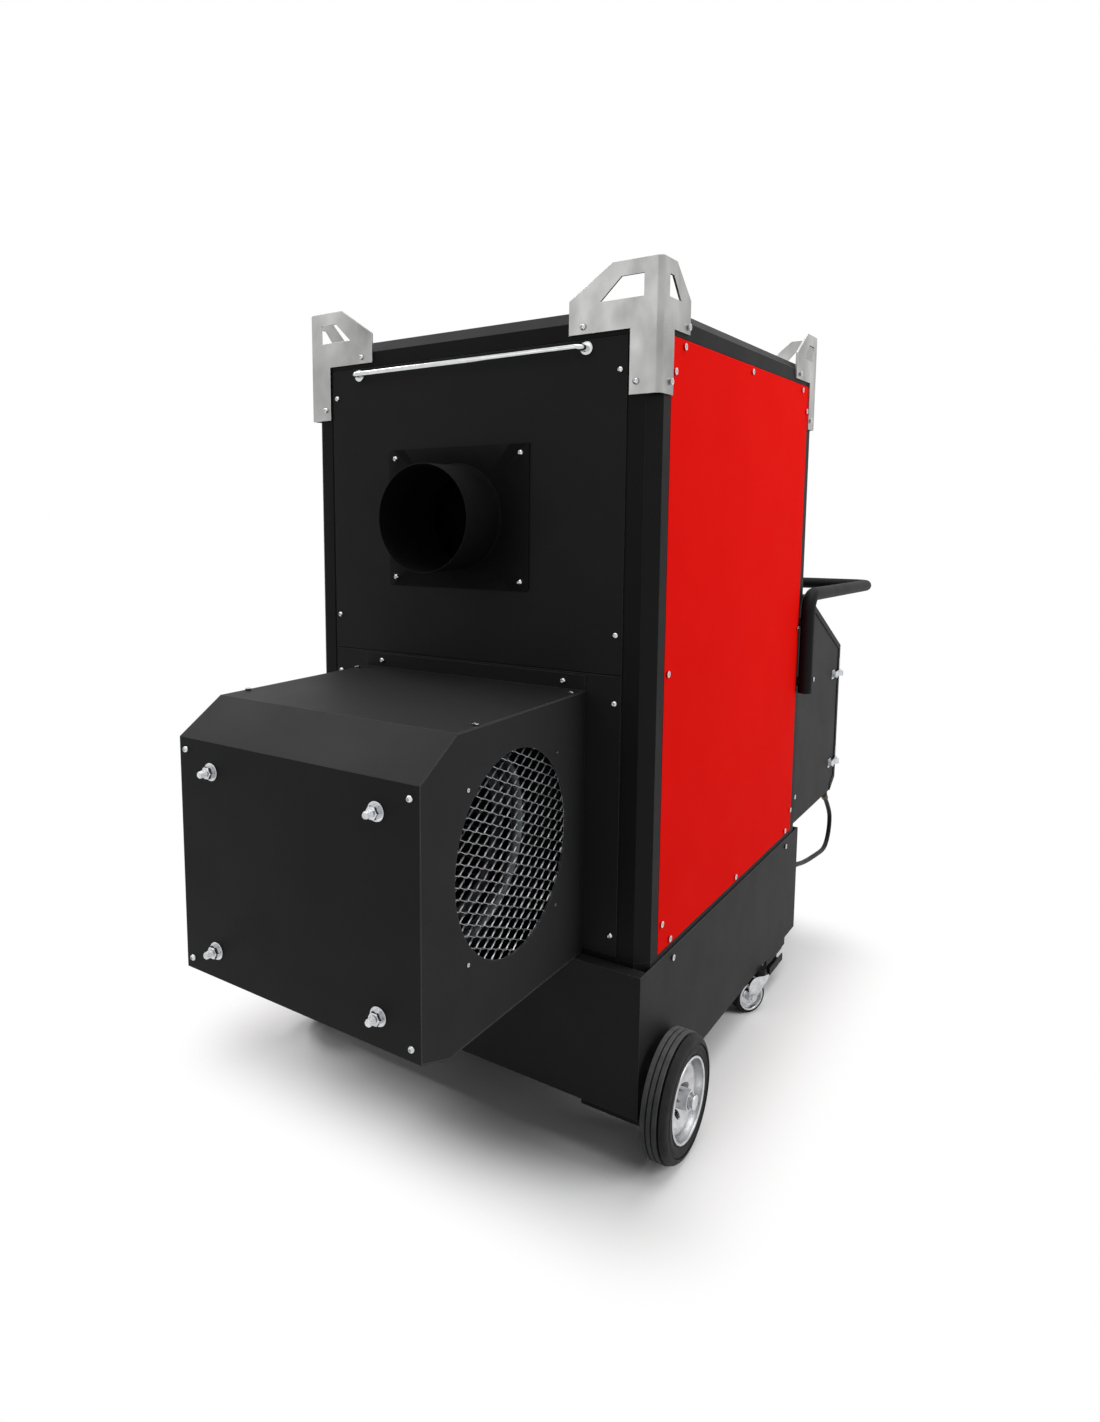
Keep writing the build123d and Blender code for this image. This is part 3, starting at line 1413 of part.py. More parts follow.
def make_fork():
    """Right-hand castor fork with its axle bolt, the wheel trailing towards the fan end."""
    top = castor_crown_top()
    inner = castor_hub_half + fork_gap
    outer = inner + fork_sheet
    crown = plate_xy(Circle(fork_crown_radius), top - fork_sheet, top)
    bridge = box_between(-outer, outer, -fork_crown_half, fork_crown_half, top - fork_sheet, top)
    leg = plate_yz(fork_leg_outline(top), inner, outer)
    bolt_end = outer + castor_bolt_head
    bolt = rod_x(-bolt_end, bolt_end, -castor_trail, castor_radius, castor_bolt_radius)
    hexagon = Pos(-castor_trail, castor_radius) * RegularPolygon(castor_bolt_head_radius, 6)
    bolt_head = plate_yz(hexagon, outer, bolt_end)
    fork = crown + bridge + leg + mirror_left(leg) + bolt + bolt_head + mirror_left(bolt_head)
    fork -= rod_z(top - fork_sheet, top, 0, 0, castor_pin_radius + running_gap)
    return castor_place() * fork


def castor_section():
    """Half-section of a castor tyre as (radius, x)."""
    middle = (castor_radius + castor_rim_radius) / 2
    tyre = Pos(middle, 0) * Rectangle(castor_radius - castor_rim_radius, castor_tread)
    outer = tyre.vertices().group_by(Axis.X)[-1]
    return fillet(outer, castor_tread_corner)


def make_castor_tyre():
    """Right-hand castor tyre."""
    return castor_place() * Pos(0, -castor_trail, castor_radius) * revolve_about_x(castor_section())


def make_castor_rim():
    """Right-hand castor wheel centre with its raised rim and hub."""
    bore = castor_bolt_radius + running_gap
    rim = Pos(castor_rim_radius - castor_rim_sheet / 2, 0) * Rectangle(castor_rim_sheet, castor_tread - 2)
    web = Pos((castor_rim_radius + bore) / 2, 0) * Rectangle(castor_rim_radius - bore, castor_web)
    hub = Pos((castor_hub_radius + bore) / 2, 0) * Rectangle(castor_hub_radius - bore, 2 * castor_hub_half)
    section = Sketch() + [rim, web, hub]
    return castor_place() * Pos(0, -castor_trail, castor_radius) * revolve_about_x(section)


def make_channels():
    """Folded channels under the rear lower edges of the base."""
    w = base_half_width - base_sheet
    s = channel_sheet
    low = base_bottom - channel_depth
    outer = box_between(w - channel_width, w, channel_front, channel_rear, low, base_bottom)
    inner = box_between(
        w - channel_width + s, w - s, channel_front - 1, channel_rear + 1, low - 1, base_bottom - s)
    right = outer - inner + make_skid(w, low)
    return group([right, mirror_left(right)])


def make_skid(edge, top):
    """Folded skid rail under one channel, its lip turned up along the outer edge."""
    s = channel_sheet
    inner = edge - skid_inset
    low = top - skid_depth
    shelf = box_between(inner, edge, skid_front, skid_rear, top - s, top)
    web = box_between(inner, inner + s, skid_front, skid_rear, low, top)
    sole = box_between(inner, edge + s, skid_front, skid_rear, low, low + s)
    lip = box_between(edge, edge + s, skid_front, skid_rear, low, low + skid_lip)
    return shelf + web + sole + lip


def hose_elbow_end():
    """Place on the hose's plane where the sloping branch of its elbow ends, as (y, z)."""
    turn = math.radians(hose_elbow_turn)
    y = hose_elbow_y + hose_elbow_branch * math.sin(turn)
    return y, hose_elbow_z - hose_elbow_branch * math.cos(turn)


def hose_points():
    """Corner points of the fuel hose's route, from its elbow under the burner box to the base."""
    y, z = hose_elbow_end()
    heading = math.radians(hose_elbow_turn)
    points = [(hose_x, y, z)]
    run = hose_first_run
    for _ in range(4):
        y += run * math.sin(heading)
        z -= run * math.cos(heading)
        points.append((hose_x, y, z))
        heading -= math.radians(hose_loop_turn)
        run = hose_loop_run
    points.append((hose_x, y - hose_low_run, z + hose_low_rise))
    points.append((hose_x, y - hose_mid_run, z + hose_mid_rise))
    points.append((hose_x, y - hose_end_run, hose_base_z))
    points.append((hose_x, cabinet_depth + base_rear + hose_union_length, hose_base_z))
    return points


def route_radii(points):
    """Radius of the arc at each inner point of a hose route: as large as its two runs allow."""
    radii = []
    for before, here, after in zip(points, points[1:], points[2:]):
        run_in = Vector(*here) - Vector(*before)
        run_out = Vector(*after) - Vector(*here)
        half_turn = math.radians(run_in.get_angle(run_out)) / 2
        radii.append(0.45 * min(run_in.length, run_out.length) / math.tan(half_turn))
    return radii


def make_hose():
    """Fuel hose from the floor of the burner box down and forward into the rear of the base."""
    route = hose_points()
    radii = route_radii(route)
    print("hose radii", [round(radius, 1) for radius in radii])
    path = FilletPolyline(*route, radius=radii)
    start = Plane(origin=path @ 0, z_dir=path % 0)
    hose = sweep(start * Circle(hose_radius), path=path)
    ideal = math.pi * hose_radius ** 2 * path.length
    print("hose length", round(path.length, 1), "volume ratio", round(hose.volume / ideal, 5))
    return hose


def make_unions():
    """Elbow under the burner box and union on the rear of the base, where the hose ends."""
    y, z = hose_elbow_end()
    stub = rod_z(hose_elbow_z, burner_box_bottom, hose_x, hose_elbow_y, hose_union_radius)
    ball = Pos(hose_x, hose_elbow_y, hose_elbow_z) * Sphere(hose_union_radius)
    turn = math.radians(hose_elbow_turn)
    back = Plane(origin=(hose_x, y, z), x_dir=(1, 0, 0), z_dir=(0, -math.sin(turn), math.cos(turn)))
    branch = extrude(back * Circle(hose_union_radius), amount=hose_elbow_branch)
    rear = cabinet_depth + base_rear
    lower = rod_y(rear, rear + hose_union_length, hose_x, hose_base_z, hose_union_radius)
    return group([stub + ball + branch, lower])


def build_all():
    """Make every node."""
    nodes["pillars"] = make_pillars()
    nodes["frame_rails"] = make_rails()
    nodes["corner_blocks"] = make_corners()
    nodes["front_upper_panel"] = make_front_upper()
    nodes["front_lower_panel"] = make_front_lower()
    right_panel = make_side_panel()
    nodes["right_side_panel"] = right_panel
    nodes["left_side_panel"] = mirror_left(right_panel)
    nodes["rear_panel"] = make_rear_panel()
    nodes["top_panel"] = make_level_panel()
    nodes["floor_panel"] = make_floor_panel()
    nodes["flue_spigot"] = make_flue_spigot()
    nodes["hot_air_spigot"] = make_outlet_spigot()
    front_bracket = make_lift_bracket()
    rear_bracket = turn_to_rear(front_bracket)
    nodes["lift_bracket_front_right"] = front_bracket
    nodes["lift_bracket_front_left"] = mirror_left(front_bracket)
    nodes["lift_bracket_rear_right"] = rear_bracket
    nodes["lift_bracket_rear_left"] = mirror_left(rear_bracket)
    nodes["hanging_rail"] = make_hang_rail()
    nodes["fan_box_wrap"] = make_fan_wrap()
    fan_side = make_fan_side()
    nodes["fan_box_side_right"] = fan_side
    nodes["fan_box_side_left"] = mirror_fan(fan_side)
    grille = make_grille()
    nodes["fan_grilles"] = group([grille, mirror_fan(grille)])
    nodes["fan_scroll"] = make_scroll()
    cone = make_inlet_cone()
    nodes["fan_inlet_cones"] = group([cone, mirror_fan(cone)])
    nodes["fan_wheel"] = make_fan_wheel()
    nodes["fan_shaft"] = make_fan_shaft()
    nodes["fan_motor"] = make_fan_motor()
    nodes["fan_box_studs"] = make_fan_studs()
    nodes["combustion_chamber"] = make_chamber()
    nodes["heat_exchanger"] = make_exchanger()
    nodes["burner_blast_tube"] = make_blast_tube()
    nodes["burner_housing"] = make_burner_housing()
    nodes["burner_motor_and_pump"] = make_burner_motor()
    nodes["burner_box"] = make_burner_box()
    nodes["burner_box_cover"] = make_burner_cover()
    for name, z in (("upper", latch_z_upper), ("lower", latch_z_lower)):
        lever = make_latch_lever(z)
        nodes["latch_lever_right_" + name] = lever
        nodes["latch_lever_left_" + name] = mirror_left(lever)
    plates = [make_latch_plate(latch_z_upper), make_latch_plate(latch_z_lower)]
    nodes["latch_plates"] = group(plates + [mirror_left(plate) for plate in plates])
    keepers = [make_keeper(latch_z_upper), make_keeper(latch_z_lower)]
    nodes["latch_keepers"] = group(keepers + [mirror_left(keeper) for keeper in keepers])
    nodes["push_handle"] = make_handle()
    nodes["base_shell"] = make_base()
    nodes["fuel_tank"] = make_tank()
    nodes["fuel_cap"] = make_cap()
    tyre = make_tyre()
    rim = make_rim()
    nodes["front_tyre_right"] = tyre
    nodes["front_tyre_left"] = mirror_left(tyre)
    nodes["front_rim_right"] = rim
    nodes["front_rim_left"] = mirror_left(rim)
    nodes["front_axle_brackets"] = make_axle_brackets()
    nodes["castor_heads"] = make_castor_heads()
    fork = make_fork()
    castor_tyre = make_castor_tyre()
    castor_rim = make_castor_rim()
    nodes["castor_fork_right"] = fork
    nodes["castor_fork_left"] = mirror_left(fork)
    nodes["castor_tyre_right"] = castor_tyre
    nodes["castor_tyre_left"] = mirror_left(castor_tyre)
    nodes["castor_rim_right"] = castor_rim
    nodes["castor_rim_left"] = mirror_left(castor_rim)
    nodes["rear_channels"] = make_channels()
    nodes["fuel_hose"] = make_hose()
    nodes["hose_unions"] = make_unions()
    nodes["screws_and_rivets"] = group([make_screws(), make_rivets()])


def write_all():
    """Write each node as a STEP file, moved so that the origin is under the middle of the heater."""
    os.makedirs("parts", exist_ok=True)
    for name, shape in nodes.items():
        export_step(Pos(0, move_y, 0) * shape, "parts/" + name + ".step")
    print(len(nodes), "nodes, moved along Y by", round(move_y, 3))


build_all()
write_all()
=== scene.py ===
"""Looks of a mobile oil-fired air heater: finishes for its pieces, and finer pieces where they show.

Metres, +Z up. The fan end faces -Y, the burner end +Y, and the right-hand side +X.
"""

import logging
import math
from dataclasses import dataclass
from enum import Enum
from typing import Optional, Sequence, Tuple

import bmesh
import bpy
import numpy as np
from mathutils import Matrix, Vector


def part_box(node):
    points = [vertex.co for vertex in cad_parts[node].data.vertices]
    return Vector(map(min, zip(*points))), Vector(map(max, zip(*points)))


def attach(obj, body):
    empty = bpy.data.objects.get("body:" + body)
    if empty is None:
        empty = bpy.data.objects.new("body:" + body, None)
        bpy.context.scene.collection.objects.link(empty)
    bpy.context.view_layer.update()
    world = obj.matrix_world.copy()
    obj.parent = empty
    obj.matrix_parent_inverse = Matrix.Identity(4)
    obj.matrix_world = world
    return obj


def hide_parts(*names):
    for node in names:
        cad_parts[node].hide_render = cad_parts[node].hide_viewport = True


Tree = bpy.types.NodeTree
Socket = bpy.types.NodeSocket
Pair = Tuple[float, float]
Triple = Tuple[float, float, float]

log = logging.getLogger("air_heater")
MM = 0.001
ORIGIN = (0.0, 0.0, 0.0)
WHITE = (1.0, 1.0, 1.0, 1.0)
# From the fan end's face to the middle of the heater, along Y.
SHIFT_Y_MM = -527.5
# Noise at or below the first of these counts as its lowest, and at or above the second as its highest.
NOISE_ENDS = (0.3, 0.7)
# Cosine of the turn over an edge where its painted highlight starts, and where it is at full strength.
EDGE_HIGHLIGHT = (0.998, 0.9)
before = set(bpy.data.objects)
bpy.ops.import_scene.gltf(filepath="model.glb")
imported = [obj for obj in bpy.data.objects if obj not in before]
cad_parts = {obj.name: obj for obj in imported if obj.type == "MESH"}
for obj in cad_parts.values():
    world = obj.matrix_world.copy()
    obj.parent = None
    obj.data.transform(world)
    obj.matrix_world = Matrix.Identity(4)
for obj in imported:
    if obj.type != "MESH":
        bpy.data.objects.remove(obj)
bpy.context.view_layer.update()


class Side(Enum):
    """Side of the heater, as the sign of X."""

    RIGHT = 1.0
    LEFT = -1.0


class Axis(Enum):
    """Axis of a turned piece, as the rows of the frame (radial, radial, along)."""

    X = ((0, 1, 0), (0, 0, 1), (1, 0, 0))
    Y = ((0, 0, 1), (1, 0, 0), (0, 1, 0))
    Z = ((1, 0, 0), (0, 1, 0), (0, 0, 1))


# Finishes


def linear(hex_colour: str) -> Tuple[float, ...]:
    """Turn an sRGB hex colour into linear light.

    Args:
        hex_colour: six hex digits, with or without a leading #.

    Returns:
        Red, green, blue and an alpha of 1.
    """
    digits = hex_colour.lstrip("#")
    parts = [int(digits[i:i + 2], 16) / 255 for i in (0, 2, 4)]
    light = [p / 12.92 if p <= 0.04045 else ((p + 0.055) / 1.055) ** 2.4 for p in parts]
    return light[0], light[1], light[2], 1.0


def add_node(tree: Tree, kind: str, settings: Optional[dict] = None,
             inputs: Optional[dict] = None) -> bpy.types.Node:
    """Add a node with its settings, values and links.

    Args:
        tree: the node tree that gets the node.
        kind: the node's type name.
        settings: attributes of the node.
        inputs: for each socket, a value or the output socket that it is linked from.

    Returns:
        The new node.
    """
    item = tree.nodes.new(kind)
    for key, value in (settings or {}).items():
        setattr(item, key, value)
    for key, value in (inputs or {}).items():
        if isinstance(value, Socket):
            tree.links.new(value, item.inputs[key])
        else:
            item.inputs[key].default_value = value
    return item


def cleared_tree(owner: bpy.types.ID) -> Tree:
    """Switch on the nodes of a material or a world, and empty them.

    Args:
        owner: the material or the world.

    Returns:
        Its node tree.
    """
    owner.use_nodes = True
    owner.node_tree.nodes.clear()
    return owner.node_tree


@dataclass(frozen=True)
class Finish:
    """A material: its colour range, gloss, surface relief and a painted highlight along its edges.

    The pattern is noise in object space. Each spacing is a real size in millimetres. A roughness is its
    middle value and how far it drifts, and a grain is its spacing and its depth.
    """

    title: str
    dark: str
    light: str
    metallic: float = 0.0
    roughness: Pair = (0.5, 0.08)
    grain_mm: Pair = (1.0, 0.01)
    patch_mm: float = 90.0
    stretch: Triple = (1.0, 1.0, 1.0)
    edge_mm: float = 0.0
    edge_colour: str = ""
    specular: float = 0.5

    def pattern(self, tree: Tree, size_mm: float, detail: float) -> Socket:
        """Noise in object space whose cells are about size_mm, stretched along the finish's direction.

        Args:
            tree: the material's tree.
            size_mm: cell size in millimetres.
            detail: octaves of finer noise.

        Returns:
            The noise factor's socket.
        """
        place = add_node(tree, "ShaderNodeTexCoord")
        mapped = add_node(tree, "ShaderNodeMapping", inputs={
            "Vector": place.outputs["Object"], "Scale": [s / (size_mm * MM) for s in self.stretch]})
        noise = add_node(tree, "ShaderNodeTexNoise", inputs={
            "Vector": mapped.outputs["Vector"], "Scale": 1.0, "Detail": detail, "Roughness": 0.55})
        return noise.outputs["Fac"]

    def rounded_normal(self, tree: Tree) -> Socket:
        """Normal that turns smoothly over each edge, as folded or cut sheet does."""
        edge = add_node(tree, "ShaderNodeBevel", {"samples": 4}, {"Radius": self.edge_mm * MM})
        return edge.outputs["Normal"]

    def relief(self, tree: Tree) -> Socket:
        """Fine grain as a bump, over edges that are rounded in the shading.

        Args:
            tree: the material's tree.

        Returns:
            The normal's socket.
        """
        size_mm, depth_mm = self.grain_mm
        inputs = {"Height": self.pattern(tree, size_mm, 2.0), "Distance": depth_mm * MM, "Strength": 1.0}
        if self.edge_mm > 0:
            inputs["Normal"] = self.rounded_normal(tree)
        return add_node(tree, "ShaderNodeBump", inputs=inputs).outputs["Normal"]

    def colour(self, tree: Tree) -> Socket:
        """Colour that drifts between the finish's dark and light, paler along each edge as a painted
        highlight.

        Args:
            tree: the material's tree.

        Returns:
            The colour's socket.
        """
        drift = self.tint(tree, self.pattern(tree, self.patch_mm, 3.0))
        if not self.edge_colour:
            return drift
        # The paler edge colour is a painted highlight, mixed in where the rounded normal turns away from the
        # face.
        flat = add_node(tree, "ShaderNodeNewGeometry")
        turn = add_node(tree, "ShaderNodeVectorMath", {"operation": "DOT_PRODUCT"}, {
            0: flat.outputs["True Normal"], 1: self.rounded_normal(tree)})
        highlit = add_node(tree, "ShaderNodeMapRange", inputs={
            "Value": turn.outputs["Value"], "From Min": EDGE_HIGHLIGHT[0], "From Max": EDGE_HIGHLIGHT[1]})
        mix = add_node(tree, "ShaderNodeMix", {"data_type": "RGBA"}, {
            0: highlit.outputs["Result"], 6: drift, 7: linear(self.edge_colour)})
        return mix.outputs[2]

    def tint(self, tree: Tree, share: Socket) -> Socket:
        """Colour between the finish's dark and light.

        Args:
            tree: the material's tree.
            share: noise whose NOISE_ENDS give the dark and the light.

        Returns:
            The colour's socket.
        """
        ramp = add_node(tree, "ShaderNodeValToRGB", inputs={"Fac": share})
        for stop, end, shade in zip(ramp.color_ramp.elements, NOISE_ENDS, (self.dark, self.light)):
            stop.position = end
            stop.color = linear(shade)
        return ramp.outputs["Color"]

    def gloss(self, tree: Tree) -> Socket:
        """Roughness that drifts around its middle value, in finer patches than the colour.

        Args:
            tree: the material's tree.

        Returns:
            The roughness socket.
        """
        middle, spread = self.roughness
        drift = add_node(tree, "ShaderNodeMapRange", inputs={
            "Value": self.pattern(tree, self.patch_mm * 0.4, 4.0), "From Min": NOISE_ENDS[0],
            "From Max": NOISE_ENDS[1], "To Min": middle - spread, "To Max": middle + spread})
        return drift.outputs["Result"]

    def material(self) -> bpy.types.Material:
        """Make the material, or give the one already made.

        Returns:
            The material named for this finish.
        """
        made = bpy.data.materials.get(self.title)
        if made:
            return made
        made = bpy.data.materials.new(self.title)
        tree = cleared_tree(made)
        shader = add_node(tree, "ShaderNodeBsdfPrincipled", inputs={
            "Base Color": self.colour(tree), "Roughness": self.gloss(tree), "Normal": self.relief(tree),
            "Metallic": self.metallic, "Specular IOR Level": self.specular})
        add_node(tree, "ShaderNodeOutputMaterial", inputs={"Surface": shader.outputs["BSDF"]})
        return made


@dataclass(frozen=True)
class SpangledFinish(Finish):
    """Zinc that froze in crystals: each cell has its own shade of grey."""

    cell_mm: float = 9.0
    contrast: float = 0.45
    darkening: float = 0.22

    def colour(self, tree: Tree) -> Socket:
        """Shade of each crystal: a random value per cell of a cell pattern, mixed with a soft drift.

        Args:
            tree: the material's tree.

        Returns:
            The colour's socket.
        """
        place = add_node(tree, "ShaderNodeTexCoord")
        cells = add_node(tree, "ShaderNodeTexVoronoi", {"feature": "F1"}, {
            "Vector": place.outputs["Object"], "Scale": 1.0 / (self.cell_mm * MM), "Randomness": 1.0})
        share = add_node(tree, "ShaderNodeMath", {"operation": "MULTIPLY_ADD"}, {
            0: cells.outputs["Color"], 1: self.contrast, 2: self.pattern(tree, self.patch_mm, 2.0)})
        darker = add_node(tree, "ShaderNodeMath", {"operation": "SUBTRACT"}, {
            0: share.outputs[0], 1: self.darkening})
        return self.tint(tree, darker.outputs[0])


# The edge colours in the finishes below are a painted highlight along each edge.
# Fine textured black powder coat on folded sheet: matt, with a soft orange-peel skin.
BLACK_POWDER = Finish(
    "textured_black_powder_coat", "#1d1d1e", "#202021", roughness=(0.62, 0.03), grain_mm=(1.5, 0.03),
    patch_mm=260, edge_mm=1.2, edge_colour="#646466", specular=0.15)
# The same coat on the frame profiles.
BLACK_FRAME = Finish(
    "black_powder_coat_profile", "#131314", "#151516", roughness=(0.6, 0.03), grain_mm=(1.6, 0.03),
    patch_mm=200, edge_mm=1.2, edge_colour="#3c3c3d", specular=0.11)
# Heat resisting black stove paint on the flue: dead matt.
BLACK_STOVE = Finish(
    "matt_black_stove_paint", "#0e0e0f", "#131313", roughness=(0.75, 0.04), grain_mm=(1.0, 0.04),
    patch_mm=70, edge_mm=0.6, edge_colour="#3c3c3c", specular=0.08)
# Signal red powder coat: even colour, matt.
RED_POWDER = Finish(
    "signal_red_powder_coat", "#de0c05", "#e30e06", roughness=(0.78, 0.03), grain_mm=(1.5, 0.025),
    patch_mm=300, edge_mm=1.0, edge_colour="#e8382c", specular=0.07)
# Laser cut and bent steel, left bare: a medium grey whose wide drift between dark and light, in faint
# streaks, is painted sheen.
BARE_SHEET = Finish(
    "brushed_bare_steel_sheet", "#848483", "#c2c2c1", metallic=1.0, roughness=(0.34, 0.1),
    grain_mm=(1.0, 0.008), patch_mm=110, stretch=(1.0, 1.0, 0.6), edge_mm=1.0, edge_colour="#d8d8d7")
# Bright zinc on screws, nuts, washers and castor forks.
ZINC = Finish(
    "bright_zinc_plate", "#bcbec1", "#dcdee0", metallic=1.0, roughness=(0.2, 0.05), grain_mm=(0.8, 0.003),
    patch_mm=14, edge_mm=0.3)
# Zinc plated wheel centres: bright, with soft press marks.
WHEEL_ZINC = Finish(
    "bright_zinc_plated_pressing", "#b6b7b9", "#d2d3d5", metallic=1.0, roughness=(0.3, 0.06),
    grain_mm=(7.0, 0.01), patch_mm=24)
# Hot dip galvanised sheet: dull grey metal with a spangle.
GALVANISED = SpangledFinish(
    "galvanised_sheet", "#6c6f72", "#898c8f", metallic=1.0, roughness=(0.42, 0.08), grain_mm=(3.0, 0.006),
    patch_mm=40)
# The same sheet on the inlet rings, painted darker as shade because they stand in the dark of the fan box.
SHADED_INLET_SHEET = SpangledFinish(
    "galvanised_sheet_inlet", "#4c4f51", "#626567", metallic=1.0, roughness=(0.45, 0.08),
    grain_mm=(3.0, 0.006), patch_mm=40)
# Expanded steel mesh, zinc plated, its cut strands bright on the face.
MESH_ZINC = Finish(
    "zinc_plated_expanded_steel", "#d6d8da", "#f0f1f2", metallic=1.0, roughness=(0.3, 0.06),
    grain_mm=(1.2, 0.01), patch_mm=26)
# Polished stainless rod.
POLISHED_ROD = Finish(
    "polished_stainless_rod", "#c4c5c6", "#dadbdc", metallic=1.0, roughness=(0.16, 0.04),
    grain_mm=(0.8, 0.002), patch_mm=25)
# Heat resisting plate of the firebox, dull and dark from firing.
FIRED_STEEL = Finish(
    "fired_heat_resisting_steel", "#0d0c0c", "#1b1918", roughness=(0.85, 0.08), grain_mm=(1.6, 0.05),
    patch_mm=45, specular=0.1)
# Solid rubber tyres: deep grey, dry side walls.
TYRE_RUBBER = Finish(
    "solid_tyre_rubber", "#191919", "#222222", roughness=(0.7, 0.08), grain_mm=(0.9, 0.04), patch_mm=40,
    specular=0.25)
# The ribs that meet the ground, rubbed paler by rolling.
TREAD_RUBBER = Finish(
    "scuffed_tread_rubber", "#515253", "#606162", roughness=(0.85, 0.08), grain_mm=(0.7, 0.06), patch_mm=18,
    specular=0.2)
# Grey-black castor tread.
CASTOR_RUBBER = Finish(
    "castor_tread_rubber", "#1b1b1b", "#272727", roughness=(0.66, 0.08), grain_mm=(0.8, 0.04), patch_mm=20,
    specular=0.25)
# Rubber hose cover, smooth from the extruder.
HOSE_RUBBER = Finish(
    "extruded_hose_rubber", "#0d0d0d", "#141414", roughness=(0.5, 0.08), grain_mm=(0.8, 0.02), patch_mm=30,
    specular=0.15)
# Injection moulded black plastic.
BLACK_PLASTIC = Finish(
    "moulded_black_polyamide", "#141415", "#1d1d1e", roughness=(0.48, 0.08), grain_mm=(0.7, 0.03),
    patch_mm=40)
# Rotationally moulded tank, cloudy natural polyethylene.
TANK_PLASTIC = Finish(
    "natural_polyethylene", "#cfcdc4", "#dddbd3", roughness=(0.5, 0.08), grain_mm=(2.0, 0.05), patch_mm=120)
# Painted aluminium casting of motors and burner.
CASTING = Finish(
    "grey_painted_casting", "#3f4347", "#4c5054", roughness=(0.5, 0.08), grain_mm=(1.4, 0.08), patch_mm=60,
    edge_mm=1.2, edge_colour="#6a6e72")
# Turned brass unions, browned almost black as in the photograph.
UNION_BRASS = Finish(
    "browned_brass_union", "#2b2721", "#463e30", metallic=1.0, roughness=(0.4, 0.08), grain_mm=(0.8, 0.004),
    patch_mm=10)


def dress(finish: Finish, *names: str) -> None:
    """Give CAD pieces their finish.

    Args:
        finish: the finish.
        names: names of CAD nodes.
    """
    for name in names:
        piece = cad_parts[name]
        piece.data.materials.clear()
        piece.data.materials.append(finish.material())
        log.info("%s: %s", name, finish.title)


# Places and pieces


def unit(vectors: np.ndarray) -> np.ndarray:
    """Vectors of length 1 in the same directions."""
    return vectors / np.linalg.norm(vectors, axis=-1, keepdims=True)


def around(steps: int, start: float = 0.0) -> np.ndarray:
    """Points (cos a, sin a) evenly around the unit circle, from a start angle.

    Args:
        steps: number of points.
        start: the start angle in radians.

    Returns:
        Array of shape (steps, 2).
    """
    angle = start + np.linspace(0, 2 * math.pi, steps, endpoint=False)
    return np.stack([np.cos(angle), np.sin(angle)], -1)


def both_sides(profile: list) -> list:
    """Closed profile from its half with h from 0 up and that half's mirror image."""
    return [(r, -h) for r, h in profile[::-1]] + profile


def corners_of(name: str) -> Tuple[np.ndarray, np.ndarray]:
    """Low and high corners of a CAD node's box, in metres."""
    low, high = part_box(name)
    return np.array(low), np.array(high)


def centre_of(name: str) -> np.ndarray:
    """Middle of a CAD node's box, in metres."""
    return sum(corners_of(name)) / 2


def placement(x: Sequence[float], y: Sequence[float], z: Sequence[float],
              origin: Sequence[float]) -> np.ndarray:
    """Placement made of three axes and an origin.

    Args:
        x: direction of its X.
        y: direction of its Y.
        z: direction of its Z.
        origin: where its own zero goes.

    Returns:
        A 4 by 4 array.
    """
    placed = np.eye(4)
    placed[:3] = np.column_stack([x, y, z, origin])
    return placed


def facing(origin: Sequence[float], outward: Sequence[float]) -> np.ndarray:
    """Placement whose Z points outward at an origin.

    Args:
        origin: where its own zero goes.
        outward: direction of its Z, along one of the axes.

    Returns:
        A 4 by 4 array.
    """
    z = np.asarray(outward, float)
    x = np.eye(3)[int(abs(z[0]) > 0.5)]
    return placement(x, np.cross(z, x), z, origin)


def new_object(name: str, data: bpy.types.ID, placed: Optional[np.ndarray] = None) -> bpy.types.Object:
    """Link an object with its data into the scene.

    Args:
        name: its name.
        data: its mesh, curve, lamp or camera.
        placed: its placement, or None at the origin.

    Returns:
        The object.
    """
    item = bpy.data.objects.new(name, data)
    if placed is not None:
        item.matrix_world = Matrix(placed.tolist())
    bpy.context.scene.collection.objects.link(item)
    return item


def settle(piece: bpy.types.Object, body: str, slot: str, *nodes: str) -> None:
    """Let a piece ride on its body and replace the CAD nodes that it stands for.

    Args:
        piece: the new piece.
        body: name of the body.
        slot: the record's material slot; not used.
        nodes: names of the CAD nodes.
    """
    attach(piece, body)
    if nodes:
        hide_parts(*nodes)


# Surfaces


